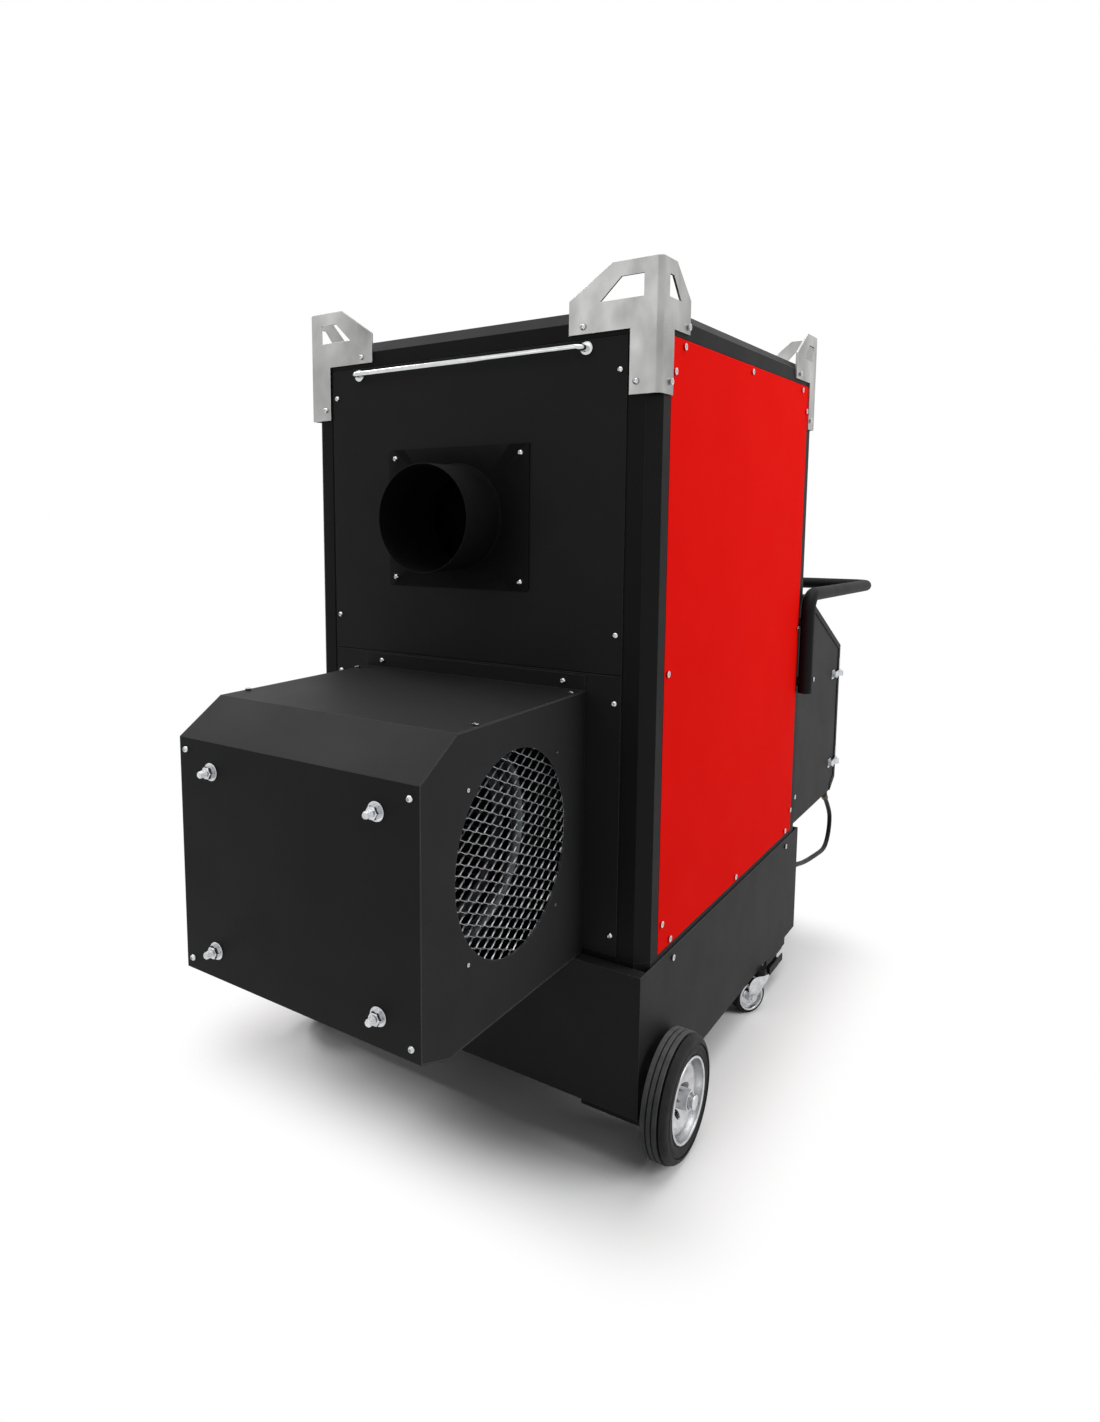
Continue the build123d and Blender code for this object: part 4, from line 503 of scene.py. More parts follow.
@dataclass
class Surface:
    """Vertices and faces gathered from whole arrays before they become one mesh."""

    points: np.ndarray
    quads: np.ndarray

    @classmethod
    def grid(cls, points: np.ndarray, close_u: bool = False, close_v: bool = False) -> "Surface":
        """Surface over a grid of points: quad (i, j) joins rows i, i + 1 and columns j, j + 1.

        Args:
            points: array of shape (rows, columns, 3).
            close_u: whether the last row joins the first.
            close_v: whether the last column joins the first.

        Returns:
            The surface.
        """
        rows, columns = points.shape[:2]
        index = np.arange(rows * columns).reshape(rows, columns)
        if close_u:
            index = np.concatenate([index, index[:1]], 0)
        if close_v:
            index = np.concatenate([index, index[:, :1]], 1)
        quads = np.stack([index[:-1, :-1], index[1:, :-1], index[1:, 1:], index[:-1, 1:]], -1)
        return cls(points.reshape(-1, 3), quads.reshape(-1, 4))

    @classmethod
    def join(cls, parts: Sequence["Surface"]) -> "Surface":
        """Put several surfaces into one, each keeping its own points.

        Args:
            parts: the surfaces.

        Returns:
            All of them as one surface.
        """
        starts = np.cumsum([0] + [len(p.points) for p in parts[:-1]])
        quads = np.concatenate([p.quads + start for p, start in zip(parts, starts)])
        return cls(np.concatenate([p.points for p in parts]), quads)

    def repeated(self, frames: np.ndarray) -> "Surface":
        """Copies of this surface, one for each 4 by 4 placement: point = frame times (x, y, z, 1).

        Args:
            frames: array of shape (n, 4, 4).

        Returns:
            All copies as one surface.
        """
        flat = np.concatenate([self.points, np.ones((len(self.points), 1))], 1)
        placed = np.einsum("nij,pj->npi", frames, flat)[..., :3]
        steps = np.arange(len(frames))[:, None, None] * len(self.points)
        return Surface(placed.reshape(-1, 3), (self.quads[None] + steps).reshape(-1, 4))

    def moved(self, offset: Sequence[float]) -> "Surface":
        """The surface moved by an offset."""
        return Surface(self.points + np.asarray(offset, float), self.quads)

    def mirrored(self, x: float = 0.0) -> "Surface":
        """The surface mirrored in the plane at x, with its faces still pointing outwards."""
        points = self.points * np.array([-1.0, 1.0, 1.0]) + np.array([2 * x, 0.0, 0.0])
        return Surface(points, self.quads[:, ::-1])

    def thickened(self, offset: Sequence[float]) -> "Surface":
        """Closed sheet: this skin, its copy moved by an offset, and a wall between them at each open edge.

        An edge is open when only one quad has it.

        Args:
            offset: from this skin to the other one.

        Returns:
            The closed surface.
        """
        edges = np.stack([self.quads, np.roll(self.quads, -1, axis=1)], -1).reshape(-1, 2)
        ordered = np.sort(edges, axis=1)
        shared = np.unique(ordered, axis=0, return_inverse=True, return_counts=True)
        single = edges[shared[2][shared[1].ravel()] == 1]
        count = len(self.points)
        walls = np.stack([single[:, 1], single[:, 0], single[:, 0] + count, single[:, 1] + count], -1)
        points = np.concatenate([self.points, self.points + np.asarray(offset, float)])
        return Surface(points, np.concatenate([self.quads, self.quads[:, ::-1] + count, walls]))

    def mesh(self, name: str, weld_mm: float = 0.002) -> bpy.types.Mesh:
        """Make a mesh with its doubled points joined and its faces pointing outwards.

        Args:
            name: mesh name.
            weld_mm: points nearer than this are joined.

        Returns:
            The mesh.
        """
        mesh = bpy.data.meshes.new(name)
        mesh.from_pydata(self.points.tolist(), [], self.quads.tolist())
        work = bmesh.new()
        work.from_mesh(mesh)
        bmesh.ops.remove_doubles(work, verts=work.verts, dist=weld_mm * MM)
        bmesh.ops.recalc_face_normals(work, faces=work.faces)
        work.to_mesh(mesh)
        work.free()
        return mesh

    def build(self, name: str, finish: Finish, slot: str, *nodes: str, body: str = "cabinet",
              sharp_deg: float = 35.0, weld_mm: float = 0.002) -> None:
        """Make the piece at the origin, smooth except where faces meet at more than an angle, and settle it.

        Args:
            name: object name.
            finish: its material.
            slot: the record's material slot.
            nodes: names of the CAD nodes that it stands for.
            body: name of the body that it rides on.
            sharp_deg: edges sharper than this stay crisp.
            weld_mm: points nearer than this are joined.
        """
        mesh = self.mesh(name, weld_mm)
        mesh.polygons.foreach_set("use_smooth", np.ones(len(mesh.polygons), bool))
        mesh.set_sharp_from_angle(angle=math.radians(sharp_deg))
        mesh.materials.append(finish.material())
        mesh.update()
        settle(new_object(name, mesh), body, slot, *nodes)
        log.info("%s: %d faces", name, len(mesh.polygons))


def turned(profile: Sequence[Pair], axis: Axis, centre: Sequence[float],
           steps: int = 96, closed: bool = True) -> Surface:
    """Surface of revolution: P(t, a) = centre + r(t) (cos a U + sin a V) + h(t) W.

    Args:
        profile: (r, h) pairs in millimetres.
        axis: gives U, V and W.
        centre: centre point in metres.
        steps: steps around.
        closed: whether the profile is a closed loop.

    Returns:
        The surface.
    """
    loop = np.asarray(profile, float)[:, None] * MM
    axes = np.array(axis.value, float)
    points = loop[..., :1] * (around(steps) @ axes[:2]) + loop[..., 1:] * axes[2] + np.asarray(centre, float)
    return Surface.grid(points, close_u=closed, close_v=True)


def arc(centre: Pair, radius: float, start: float, end: float, steps: int) -> list:
    """Points c + r (cos a, sin a) from one angle to another.

    Args:
        centre: the arc's centre.
        radius: its radius.
        start: first angle in degrees.
        end: last angle in degrees.
        steps: number of points.

    Returns:
        Pairs of (first, second) coordinates.
    """
    angle = np.radians(np.linspace(start, end, steps))
    return list(zip(centre[0] + radius * np.cos(angle), centre[1] + radius * np.sin(angle)))


def rounded_path(corners: np.ndarray, radius: float, steps: int = 14) -> np.ndarray:
    """Path through corners with each inner corner replaced by a tangent arc.

    The arc's points are c + r (cos a P + sin a Q), where c lies on the corner's bisector.

    Args:
        corners: array of shape (n, 3).
        radius: arc radius.
        steps: points in each arc.

    Returns:
        Array of points.
    """
    pieces = [corners[:1]]
    for before, here, after in zip(corners, corners[1:], corners[2:]):
        arrive, leave = unit(here - before), unit(after - here)
        turn = math.acos(float(np.clip(arrive @ leave, -1, 1)))
        start = here - arrive * radius * math.tan(turn / 2)
        inward = unit(leave - arrive * float(arrive @ leave))
        angle = np.linspace(0, turn, steps)[:, None]
        pieces.append(start + radius * (np.sin(angle) * arrive + (1 - np.cos(angle)) * inward))
    pieces.append(corners[-1:])
    return np.concatenate(pieces)


def tube(path: np.ndarray, radius: float, steps: int) -> Surface:
    """Round tube along a path, closed at its ends: P(s, a) = path(s) + r (cos a N(s) + sin a B(s)).

    N is square to the path and to (1, 1, 1), and B to both.

    Args:
        path: array of points, none of whose directions is along (1, 1, 1).
        radius: tube radius.
        steps: steps around.

    Returns:
        The surface.
    """
    along = unit(np.gradient(path, axis=0))
    first = unit(np.cross(along, np.ones(3)))
    ring = around(steps) @ np.stack([first, np.cross(along, first)], 1)
    middle = np.pad(path, ((1, 1), (0, 0)), "edge")[:, None]
    return Surface.grid(middle + radius * np.pad(ring, ((1, 1), (0, 0), (0, 0))), close_v=True)


# Sub-assemblies


@dataclass
class Studio:
    """Camera, soft lights and the pale floor."""

    picture_width: float = 1100.0
    picture_height: float = 1422.0
    focal_px: float = 935.9
    middle_x_px: float = 420.7
    middle_y_px: float = 625.7
    turn_deg: float = 36.858
    tilt_deg: float = 6.812
    roll_deg: float = -0.355
    place: Triple = (0.99882, -1.99915, 1.15825)
    floor_reach: float = 40.0
    shadow_middle: Triple = (-0.02, -0.05, 0.0)
    shadow_half: Triple = (0.4, 0.56, 1.0)
    shadow_fade: float = 0.25
    floor_tone: str = "#f4f4f4"
    floor_bounce: str = "#a0a0a0"
    fill: float = 0.16
    overhead_watts: float = 150.0
    side_watts: float = 150.0
    left_watts: float = 60.0
    front_watts: float = 12.0
    far_side_watts: float = 75.0

    def camera(self) -> None:
        """Camera at the photograph's place: columns of its turn are right, up and backwards."""
        data = bpy.data.cameras.new("camera")
        data.sensor_fit = "HORIZONTAL"
        data.sensor_width = 36.0
        data.lens = self.focal_px / self.picture_width * data.sensor_width
        data.shift_x = (self.picture_width / 2 - self.middle_x_px) / self.picture_width
        data.shift_y = (self.middle_y_px - self.picture_height / 2) / self.picture_width
        data.clip_end = 200.0
        turn, tilt, roll = (math.radians(v) for v in (self.turn_deg, self.tilt_deg, self.roll_deg))
        level = np.array([-math.sin(turn), math.cos(turn), 0.0])
        ahead = math.cos(tilt) * level - np.array([0.0, 0.0, math.sin(tilt)])
        right = np.array([math.cos(turn), math.sin(turn), 0.0])
        up = np.cross(right, ahead)
        rolled_right = math.cos(roll) * right + math.sin(roll) * up
        rolled_up = -math.sin(roll) * right + math.cos(roll) * up
        placed = placement(rolled_right, rolled_up, -ahead, self.place)
        bpy.context.scene.camera = new_object("camera", data, placed)

    def lamp(self, name: str, place: Sequence[float], target: Sequence[float], size: Pair,
             power: float, mirrored: bool = True) -> None:
        """Rectangular soft light at a place, aimed at a target.

        Args:
            name: lamp name.
            place: position in metres.
            target: point it looks at.
            size: width and height in metres.
            power: watts.
            mirrored: whether gloss and metal show it.
        """
        data = bpy.data.lights.new(name, "AREA")
        data.shape = "RECTANGLE"
        data.size, data.size_y = size
        data.energy = power
        back = unit(np.subtract(place, target))
        side = unit(np.cross((0.0, 0.0, 1.0), back))
        lamp = new_object(name, data, placement(side, np.cross(back, side), back, place))
        lamp.visible_glossy = mirrored

    def shown(self, tree: Tree) -> Socket:
        """1 where the camera, gloss or a view through glass sees the background, 0 for light on the object.

        Args:
            tree: tree of the world or of the floor.

        Returns:
            The factor's socket.
        """
        path = add_node(tree, "ShaderNodeLightPath")
        seen = path.outputs["Is Camera Ray"]
        for kind in ("Is Glossy Ray", "Is Transmission Ray"):
            both = {0: seen, 1: path.outputs[kind]}
            seen = add_node(tree, "ShaderNodeMath", {"operation": "MAXIMUM"}, both).outputs[0]
        return seen

    def world(self) -> None:
        """White to the eye and in gloss, and a dimmer fill as light."""
        world = bpy.data.worlds.new("studio")
        bpy.context.scene.world = world
        tree = cleared_tree(world)
        fill = add_node(tree, "ShaderNodeBackground", inputs={"Color": WHITE, "Strength": self.fill})
        seen = add_node(tree, "ShaderNodeBackground", inputs={"Color": WHITE, "Strength": 1.0})
        mix = add_node(tree, "ShaderNodeMixShader", inputs={
            0: self.shown(tree), 1: fill.outputs[0], 2: seen.outputs[0]})
        add_node(tree, "ShaderNodeOutputWorld", inputs={"Surface": mix.outputs[0]})

    def distance_fade(self, tree: Tree) -> Socket:
        """0 on the floor around the heater and 1 further out: smooth in max(|p - c| - h, 0).

        Args:
            tree: tree of the floor.

        Returns:
            The factor's socket.
        """
        spot = add_node(tree, "ShaderNodeTexCoord").outputs["Object"]
        for operation, other in (("SUBTRACT", self.shadow_middle), ("ABSOLUTE", ORIGIN),
                                 ("SUBTRACT", self.shadow_half), ("MAXIMUM", ORIGIN)):
            step = add_node(tree, "ShaderNodeVectorMath", {"operation": operation}, {0: spot, 1: other})
            spot = step.outputs[0]
        away = add_node(tree, "ShaderNodeVectorMath", {"operation": "LENGTH"}, {0: spot})
        fade = add_node(tree, "ShaderNodeMapRange", {"interpolation_type": "SMOOTHSTEP"}, {
            "Value": away.outputs["Value"], "From Max": self.shadow_fade})
        return fade.outputs["Result"]

    def floor(self) -> None:
        """Pale floor that keeps the shadow near the heater and goes plain white further out."""
        ends = np.array([-1.0, 1.0]) * self.floor_reach
        points = np.stack(np.meshgrid(ends, ends, [0.0], indexing="ij"), -1)[:, :, 0]
        mesh = Surface.grid(points).mesh("floor")
        made = bpy.data.materials.new("matt_studio_floor")
        tree = cleared_tree(made)
        seen = self.shown(tree)
        share = add_node(tree, "ShaderNodeMath", {"operation": "MULTIPLY"}, {
            0: self.distance_fade(tree), 1: seen})
        tone = add_node(tree, "ShaderNodeMix", {"data_type": "RGBA"}, {
            0: seen, 6: linear(self.floor_bounce), 7: linear(self.floor_tone)})
        matt = add_node(tree, "ShaderNodeBsdfDiffuse", inputs={"Color": tone.outputs[2]})
        white = add_node(tree, "ShaderNodeEmission", inputs={"Color": WHITE, "Strength": 1.0})
        mix = add_node(tree, "ShaderNodeMixShader", inputs={
            0: share.outputs[0], 1: matt.outputs[0], 2: white.outputs[0]})
        add_node(tree, "ShaderNodeOutputMaterial", inputs={"Surface": mix.outputs[0]})
        mesh.materials.append(made)
        new_object("floor", mesh)

    def build(self) -> None:
        """Make the whole studio."""
        self.camera()
        self.world()
        self.floor()
        self.lamp("overhead", (0.6, 0.5, 4.8), (0.0, 0.1, 0.8), (4.0, 4.0), self.overhead_watts)
        self.lamp("right_side", (4.6, 1.1, 2.6), (0.3, 0.2, 0.8), (3.0, 3.0), self.side_watts, False)
        self.lamp("upper_left", (-3.4, -0.3, 4.4), (0.0, -0.7, 0.8), (1.6, 1.6), self.left_watts)
        self.lamp("left_side", (-4.6, 1.0, 2.4), (-0.3, 0.1, 0.7), (2.6, 2.6), self.far_side_watts, False)
        self.lamp("fan_end", (-1.6, -4.8, 3.0), (0.0, -0.8, 0.7), (2.4, 2.4), self.front_watts)
        bpy.context.scene.view_settings.view_transform = "Standard"
        log.info("studio ready")


@dataclass
class FuelHose:
    """Fuel hose from the elbow under the burner box down and forward to the base."""

    diameter_mm: float = 12.0
    hose_x_mm: float = 356.0

    def route(self) -> np.ndarray:
        """Corner points of the hose's route, all in one plane square to X.

        Returns:
            Array of points in metres.
        """
        points = np.array([
            (1326.32, 338.14), (1387.6, 286.72), (1398.04, 243.26), (1380.57, 202.11), (1342.06, 179.42),
            (1257.06, 188.42), (1121.06, 206.42), (1017.06, 232.0), (957.0, 232.0)])
        y, z = points.T
        return np.column_stack([np.full(len(points), self.hose_x_mm), y + SHIFT_Y_MM, z]) * MM

    def build(self) -> None:
        route = self.route()
        curve = bpy.data.curves.new("fuel_hose_cover", "CURVE")
        curve.dimensions = "3D"
        curve.bevel_depth = self.diameter_mm / 2 * MM
        curve.bevel_resolution = 6
        curve.resolution_u = 16
        curve.use_fill_caps = True
        spline = curve.splines.new("NURBS")
        spline.points.add(len(route) - 1)
        spline.points.foreach_set("co", np.column_stack([route, np.ones(len(route))]).ravel())
        spline.order_u = 3
        spline.use_endpoint_u = True
        curve.materials.append(HOSE_RUBBER.material())
        hose = new_object("fuel_hose_cover", curve)
        settle(hose, "cabinet", "hose_rubber", "fuel_hose")
        dress(UNION_BRASS, "hose_unions")


@dataclass
class Cabinet:
    """Frame, panels, lifting brackets and hanging rail."""

    rail_radius_mm: float = 5.0
    rail_bend_mm: float = 12.0
    rosette_edge_mm: float = 1.2
    rosette_depth_mm: float = 4.8
    rosette_face_mm: float = 3.4

    def hanging_rail(self) -> None:
        """Bent rod between two turned rosettes."""
        low, high = corners_of("hanging_rail")
        rod_mm, edge, depth = self.rail_radius_mm, self.rosette_edge_mm, -self.rosette_depth_mm
        z = (low[2] + high[2]) / 2
        rosette = (high[2] - low[2]) / 2
        x = high[0] - rosette
        wall, front = high[1], low[1] + rod_mm * MM
        corners = np.array([(-x, wall, z), (-x, front, z), (x, front, z), (x, wall, z)])
        rod = tube(rounded_path(corners, self.rail_bend_mm * MM), rod_mm * MM, 24)
        face = arc((rosette / MM - edge, -self.rosette_face_mm), edge, 0, -70, 4)
        profile = [(0, 0), (rosette / MM, 0)] + face + [(rod_mm + edge, depth), (0, depth)]
        parts = [rod] + [turned(profile, Axis.Y, (side * x, wall, z), 40, closed=False) for side in (1, -1)]
        Surface.join(parts).build("hanging_rail_rod", POLISHED_ROD, "stainless", "hanging_rail")

    def build(self) -> None:
        """Dress the cabinet."""
        dress(BLACK_FRAME, "pillars", "frame_rails", "corner_blocks")
        dress(BLACK_POWDER, "front_upper_panel", "front_lower_panel", "rear_panel", "top_panel")
        dress(RED_POWDER, "right_side_panel", "left_side_panel")
        dress(GALVANISED, "floor_panel", "hot_air_spigot")
        dress(BARE_SHEET, "lift_bracket_front_right", "lift_bracket_front_left",
              "lift_bracket_rear_right", "lift_bracket_rear_left")
        dress(FIRED_STEEL, "combustion_chamber", "heat_exchanger", "burner_blast_tube")
        self.hanging_rail()


@dataclass
class FlueSpigot:
    """Round flue tube with its rolled end, weld bead and screwed plate."""

    outer_mm: float = 99.0
    wall_mm: float = 1.5
    plate_mm: float = 3.0
    bead_mm: float = 3.2
    sunk_mm: float = 0.4
    overlap_mm: float = 0.5
    ease_mm: float = 0.7
    rays: int = 160

    def build(self) -> None:
        """Turn the tube with its weld and add the plate around it."""
        low, high = corners_of("flue_spigot")
        centre = np.array([(low[0] + high[0]) / 2, high[1], (low[2] + high[2]) / 2])
        length = (high[1] - low[1]) / MM
        outer, wall = self.outer_mm, self.wall_mm
        weld = arc((outer - self.sunk_mm, self.sunk_mm - self.plate_mm), self.bead_mm, -90, 0, 7)[::-1]
        end = arc((outer - wall / 2, wall / 2 - length), wall / 2, 0, -180, 7)
        profile = [(outer - wall, 0), (outer + self.bead_mm, 0)] + weld
        profile += [(outer, 0.6 - length)] + end + [(outer - wall, 1 - length)]
        pipe = turned(profile, Axis.Y, centre, 128)
        flat = self.face_ring(centre, high[0] - low[0], high[2] - low[2])
        whole = Surface.join([pipe, flat])
        whole.build("flue_tube_and_plate", BLACK_STOVE, "black_paint", "flue_spigot", sharp_deg=30)

    def face_ring(self, centre: np.ndarray, width: float, height: float) -> Surface:
        """Plate with a round hole: rows run from the hole's circle to the rectangle along even rays.

        A ray at angle a meets the rectangle at min(w / |cos a|, h / |sin a|).

        Args:
            centre: centre of the plate's back.
            width: plate width.
            height: plate height.

        Returns:
            The surface, closed at its back.
        """
        ray = around(self.rays, math.atan2(height, width))
        reach = (np.array([width, height]) / 2 / np.maximum(np.abs(ray), 1e-9)).min(1, keepdims=True)
        hole, thick, ease = (self.outer_mm - self.overlap_mm) * MM, self.plate_mm * MM, self.ease_mm * MM
        rows = [(hole, -thick), (reach - ease, -thick), (reach - ease * 0.3, -thick + ease * 0.3),
                (reach, -thick + ease), (reach, 0.0), (hole, 0.0)]
        points = np.array([np.insert(ray * out, 1, y, axis=1) for out, y in rows])
        return Surface.grid(points + centre, close_u=True, close_v=True)


@dataclass
class FanBox:
    """Fan housing with its expanded metal grilles, inlet cones and front studs."""

    hole_mm: float = 167.0
    cell_long_mm: float = 43.5
    cell_short_mm: float = 18.2
    bond_mm: float = 1.6
    strand_lean_mm: Triple = (4.4, 0.0, -1.25)
    strand_thick_mm: float = 0.45
    mesh_gap_mm: float = 0.3
    rim_mm: Pair = (168.0, 195.0)
    rim_thick_mm: float = 2.0
    ring_eye_mm: float = 156.0
    ring_reach_mm: float = 18.0
    ring_flare_mm: float = 7.0
    ring_rim_mm: float = 5.0
    ring_foot_mm: float = 10.0
    ring_sheet_mm: float = 1.5
    ring_edge_mm: float = 0.4
    ring_swell: float = 0.6
    stud_mm: float = 6.0
    pitch_mm: float = 1.75
    thread_mm: float = 0.75
    tip_mm: float = 1.6
    tip_slope: float = 0.9
    washer_mm: Triple = (6.4, 15.0, 2.5)
    washer_edge_mm: float = 0.4
    nut_flats_mm: float = 19.0
    nut_ends_mm: Pair = (2.5, 12.5)
    nut_chamfer_mm: Pair = (0.5, 1.3)

    def strands(self) -> Surface:
        """Expanded sheet in the Y Z plane, cut to the round inlet.

        Bonds stand at (i a, j b) with i + j even, where a and b are half the cell. At a bond two strands lie
        side by side, half a lean apart. A strand that rises leaves from the outer half of its bond and ends
        at the inner half of the next, and one that falls does the opposite. It is half a lean wide.

        Returns:
            The mesh, centred on the inlet, with its bonds at X = 0.
        """
        a, b = self.cell_long_mm / 2, self.cell_short_mm / 2
        columns, rows = int(self.hole_mm / a) + 2, int(self.hole_mm / b) + 2
        i, j = np.meshgrid(np.arange(-columns, columns + 1), np.arange(-rows, rows + 1), indexing="ij")
        keep = (i + j) % 2 == 0
        start = np.stack([np.zeros(keep.sum()), i[keep] * a, j[keep] * b], -1)
        lean = np.array(self.strand_lean_mm) / 4
        flat = np.array([0.0, self.bond_mm, 0.0])
        parts = []
        for slant in (1.0, -1.0):
            middle = start + np.array([0.0, a / 2, slant * b / 2])
            first = start[np.hypot(middle[:, 1], middle[:, 2]) < self.hole_mm + 4]
            run, aside = np.array([0.0, a, slant * b]), slant * lean
            spine = np.array([aside, aside + flat, run - aside - flat, run - aside])
            thin = unit(np.cross(run - flat * 2 - 2 * aside, lean)) * self.strand_thick_mm / 2
            bar = spine[:, None] + np.array([lean + thin, thin - lean, -lean - thin, lean - thin])
            ends = [np.broadcast_to(bar[k].mean(0), (1, 4, 3)) for k in (0, -1)]
            strand = Surface.grid(np.concatenate([ends[0], bar, ends[1]]), close_v=True)
            frames = np.broadcast_to(np.eye(4), (len(first), 4, 4)).copy()
            frames[:, :3, 3] = first
            parts.append(strand.repeated(frames))
        whole = Surface.join(parts)
        return Surface(whole.points * MM, whole.quads)

    def grilles(self) -> None:
        """Both grilles: expanded metal with a flat rim behind the side plate, the left one mirrored."""
        low, high = corners_of("fan_grilles")
        middle = (low + high) / 2
        bonds = high[0] - (self.strand_lean_mm[0] / 2 + self.mesh_gap_mm) * MM
        mesh = self.strands().moved((bonds, middle[1], middle[2]))
        inner, outer = self.rim_mm
        profile = [(inner, 0), (outer, 0), (outer, -self.rim_thick_mm), (inner, -self.rim_thick_mm)]
        rim = turned(profile, Axis.X, (high[0], middle[1], middle[2]))
        whole = Surface.join([mesh, rim, mesh.mirrored(middle[0]), rim.mirrored(middle[0])])
        whole.build("expanded_metal_grilles", MESH_ZINC, "galvanised", "fan_grilles", sharp_deg=25,
                    weld_mm=0)

    def inlet_rings(self) -> None:
        """Spun inlet rings: the throat opens as eye + flare s^2 to a lip, with s from 0 to 1 along it."""
        low, high = corners_of("fan_inlet_cones")
        centre = (low + high) / 2
        tip = (high[0] - centre[0]) / MM
        eye, sheet, edge = self.ring_eye_mm, self.ring_sheet_mm, self.ring_edge_mm
        start, foot = tip - self.ring_reach_mm, eye + self.ring_foot_mm
        lip = eye + self.ring_flare_mm + self.ring_rim_mm
        share = np.linspace(0, 1, 16)
        radius = eye + self.ring_flare_mm * share ** 2
        along = start + self.ring_reach_mm * share
        skin = np.stack([radius, along], -1)
        swell = sheet * (1 + share[::-1] * self.ring_swell)
        under = np.stack([radius + swell, along - sheet * share], -1)[:0:-1]
        rolled = [(lip - edge, tip), (lip, tip - edge), (lip, tip - sheet)]
        flat = [(eye + 2 * sheet, start + sheet), (foot, start + sheet), (foot, start)]
        ring = turned(np.concatenate([skin, rolled, under, flat]), Axis.X, centre)
        both = Surface.join([ring, ring.mirrored(centre[0])])
        both.build("inlet_rings_spun", SHADED_INLET_SHEET, "galvanised", "fan_inlet_cones", sharp_deg=40)

    def thread(self, length_mm: float, rows_per_pitch: int = 8, steps: int = 28) -> Surface:
        """Threaded rod end along Z: r(a, z) = R - d |2 frac(z / p - a / 2 pi) - 1| with its tip eased.

        Args:
            length_mm: length.
            rows_per_pitch: rows in each pitch.
            steps: steps around.

        Returns:
            The surface, from z = 0 to the tip.
        """
        z = np.linspace(0, length_mm, int(length_mm / self.pitch_mm * rows_per_pitch))[:, None]
        phase = np.mod(z / self.pitch_mm - np.arange(steps) / steps, 1.0)
        tip_radius = self.stud_mm - self.tip_mm + (length_mm - z) * self.tip_slope
        radius = np.minimum(self.stud_mm - self.thread_mm * np.abs(2 * phase - 1), tip_radius)
        points = radius[..., None] * np.insert(around(steps), 2, 0, axis=1)
        points[..., 2] = z
        tip = np.broadcast_to([0.0, 0.0, length_mm], (1, steps, 3))
        return Surface.grid(np.concatenate([points, tip]) * MM, close_v=True)

    def nut(self, steps: int = 48) -> Surface:
        """Hexagon nut along Z: r(a) = f / cos(a mod 60 - 30) held under a cone at both faces.

        Args:
            steps: steps around.

        Returns:
            The surface.
        """
        angle = np.linspace(0, 2 * math.pi, steps, endpoint=False)
        low, high = self.nut_ends_mm
        edge, cone = self.nut_chamfer_mm
        f, bore = self.nut_flats_mm / 2, self.stud_mm
        hexagon = f / np.cos(np.mod(angle, math.pi / 3) - math.pi / 6)
        eased = np.minimum(hexagon, f * 1.05)
        rows = [(bore, low), (f * 0.98, low), (eased, low + edge), (hexagon, low + cone),
                (hexagon, high - cone), (eased, high - edge), (f * 0.95, high), (bore - 0.2, high)]
        points = [np.insert(around(steps) * np.reshape(radius, (-1, 1)), 2, z, axis=1) for radius, z in rows]
        return Surface.grid(np.array(points) * MM, close_v=True)

    def studs(self) -> None:
        """Four studs on the fan box front, each with a washer and a nut."""
        low, high = corners_of("fan_box_studs")
        bore, outer, thick = self.washer_mm
        edge = self.washer_edge_mm
        profile = [(bore, 0), (outer - edge, 0), (outer, edge), (outer, thick - edge), (outer - edge, thick),
                   (bore, thick)]
        washer = turned(profile, Axis.Z, ORIGIN, 40)
        stud = Surface.join([washer, self.nut(), self.thread((high[1] - low[1]) / MM)])
        r = outer * MM
        frames = np.array([facing((x, high[1], z), (0, -1, 0))
                           for x in (low[0] + r, high[0] - r) for z in (low[2] + r, high[2] - r)])
        whole = stud.repeated(frames)
        whole.build("fan_studs_nuts_washers", ZINC, "zinc_plate", "fan_box_studs", sharp_deg=32,
                    weld_mm=0.001)

    def build(self) -> None:
        """Dress the fan box and add its finer pieces."""
        dress(BLACK_POWDER, "fan_box_wrap", "fan_box_side_right", "fan_box_side_left")
        dress(GALVANISED, "fan_scroll", "fan_wheel")
        dress(ZINC, "fan_shaft")
        dress(CASTING, "fan_motor")
        self.grilles()
        self.inlet_rings()
        self.studs()


@dataclass
class Burner:
    """Burner, its box with the lift-off cover, and the draw latches."""

    def build(self) -> None:
        """Dress the burner end."""
        dress(BLACK_POWDER, "burner_box", "burner_box_cover")
        dress(CASTING, "burner_housing", "burner_motor_and_pump")
        dress(ZINC, "latch_plates", "latch_keepers")
        for side in ("right", "left"):
            dress(ZINC, "latch_lever_%s_upper" % side, "latch_lever_%s_lower" % side)


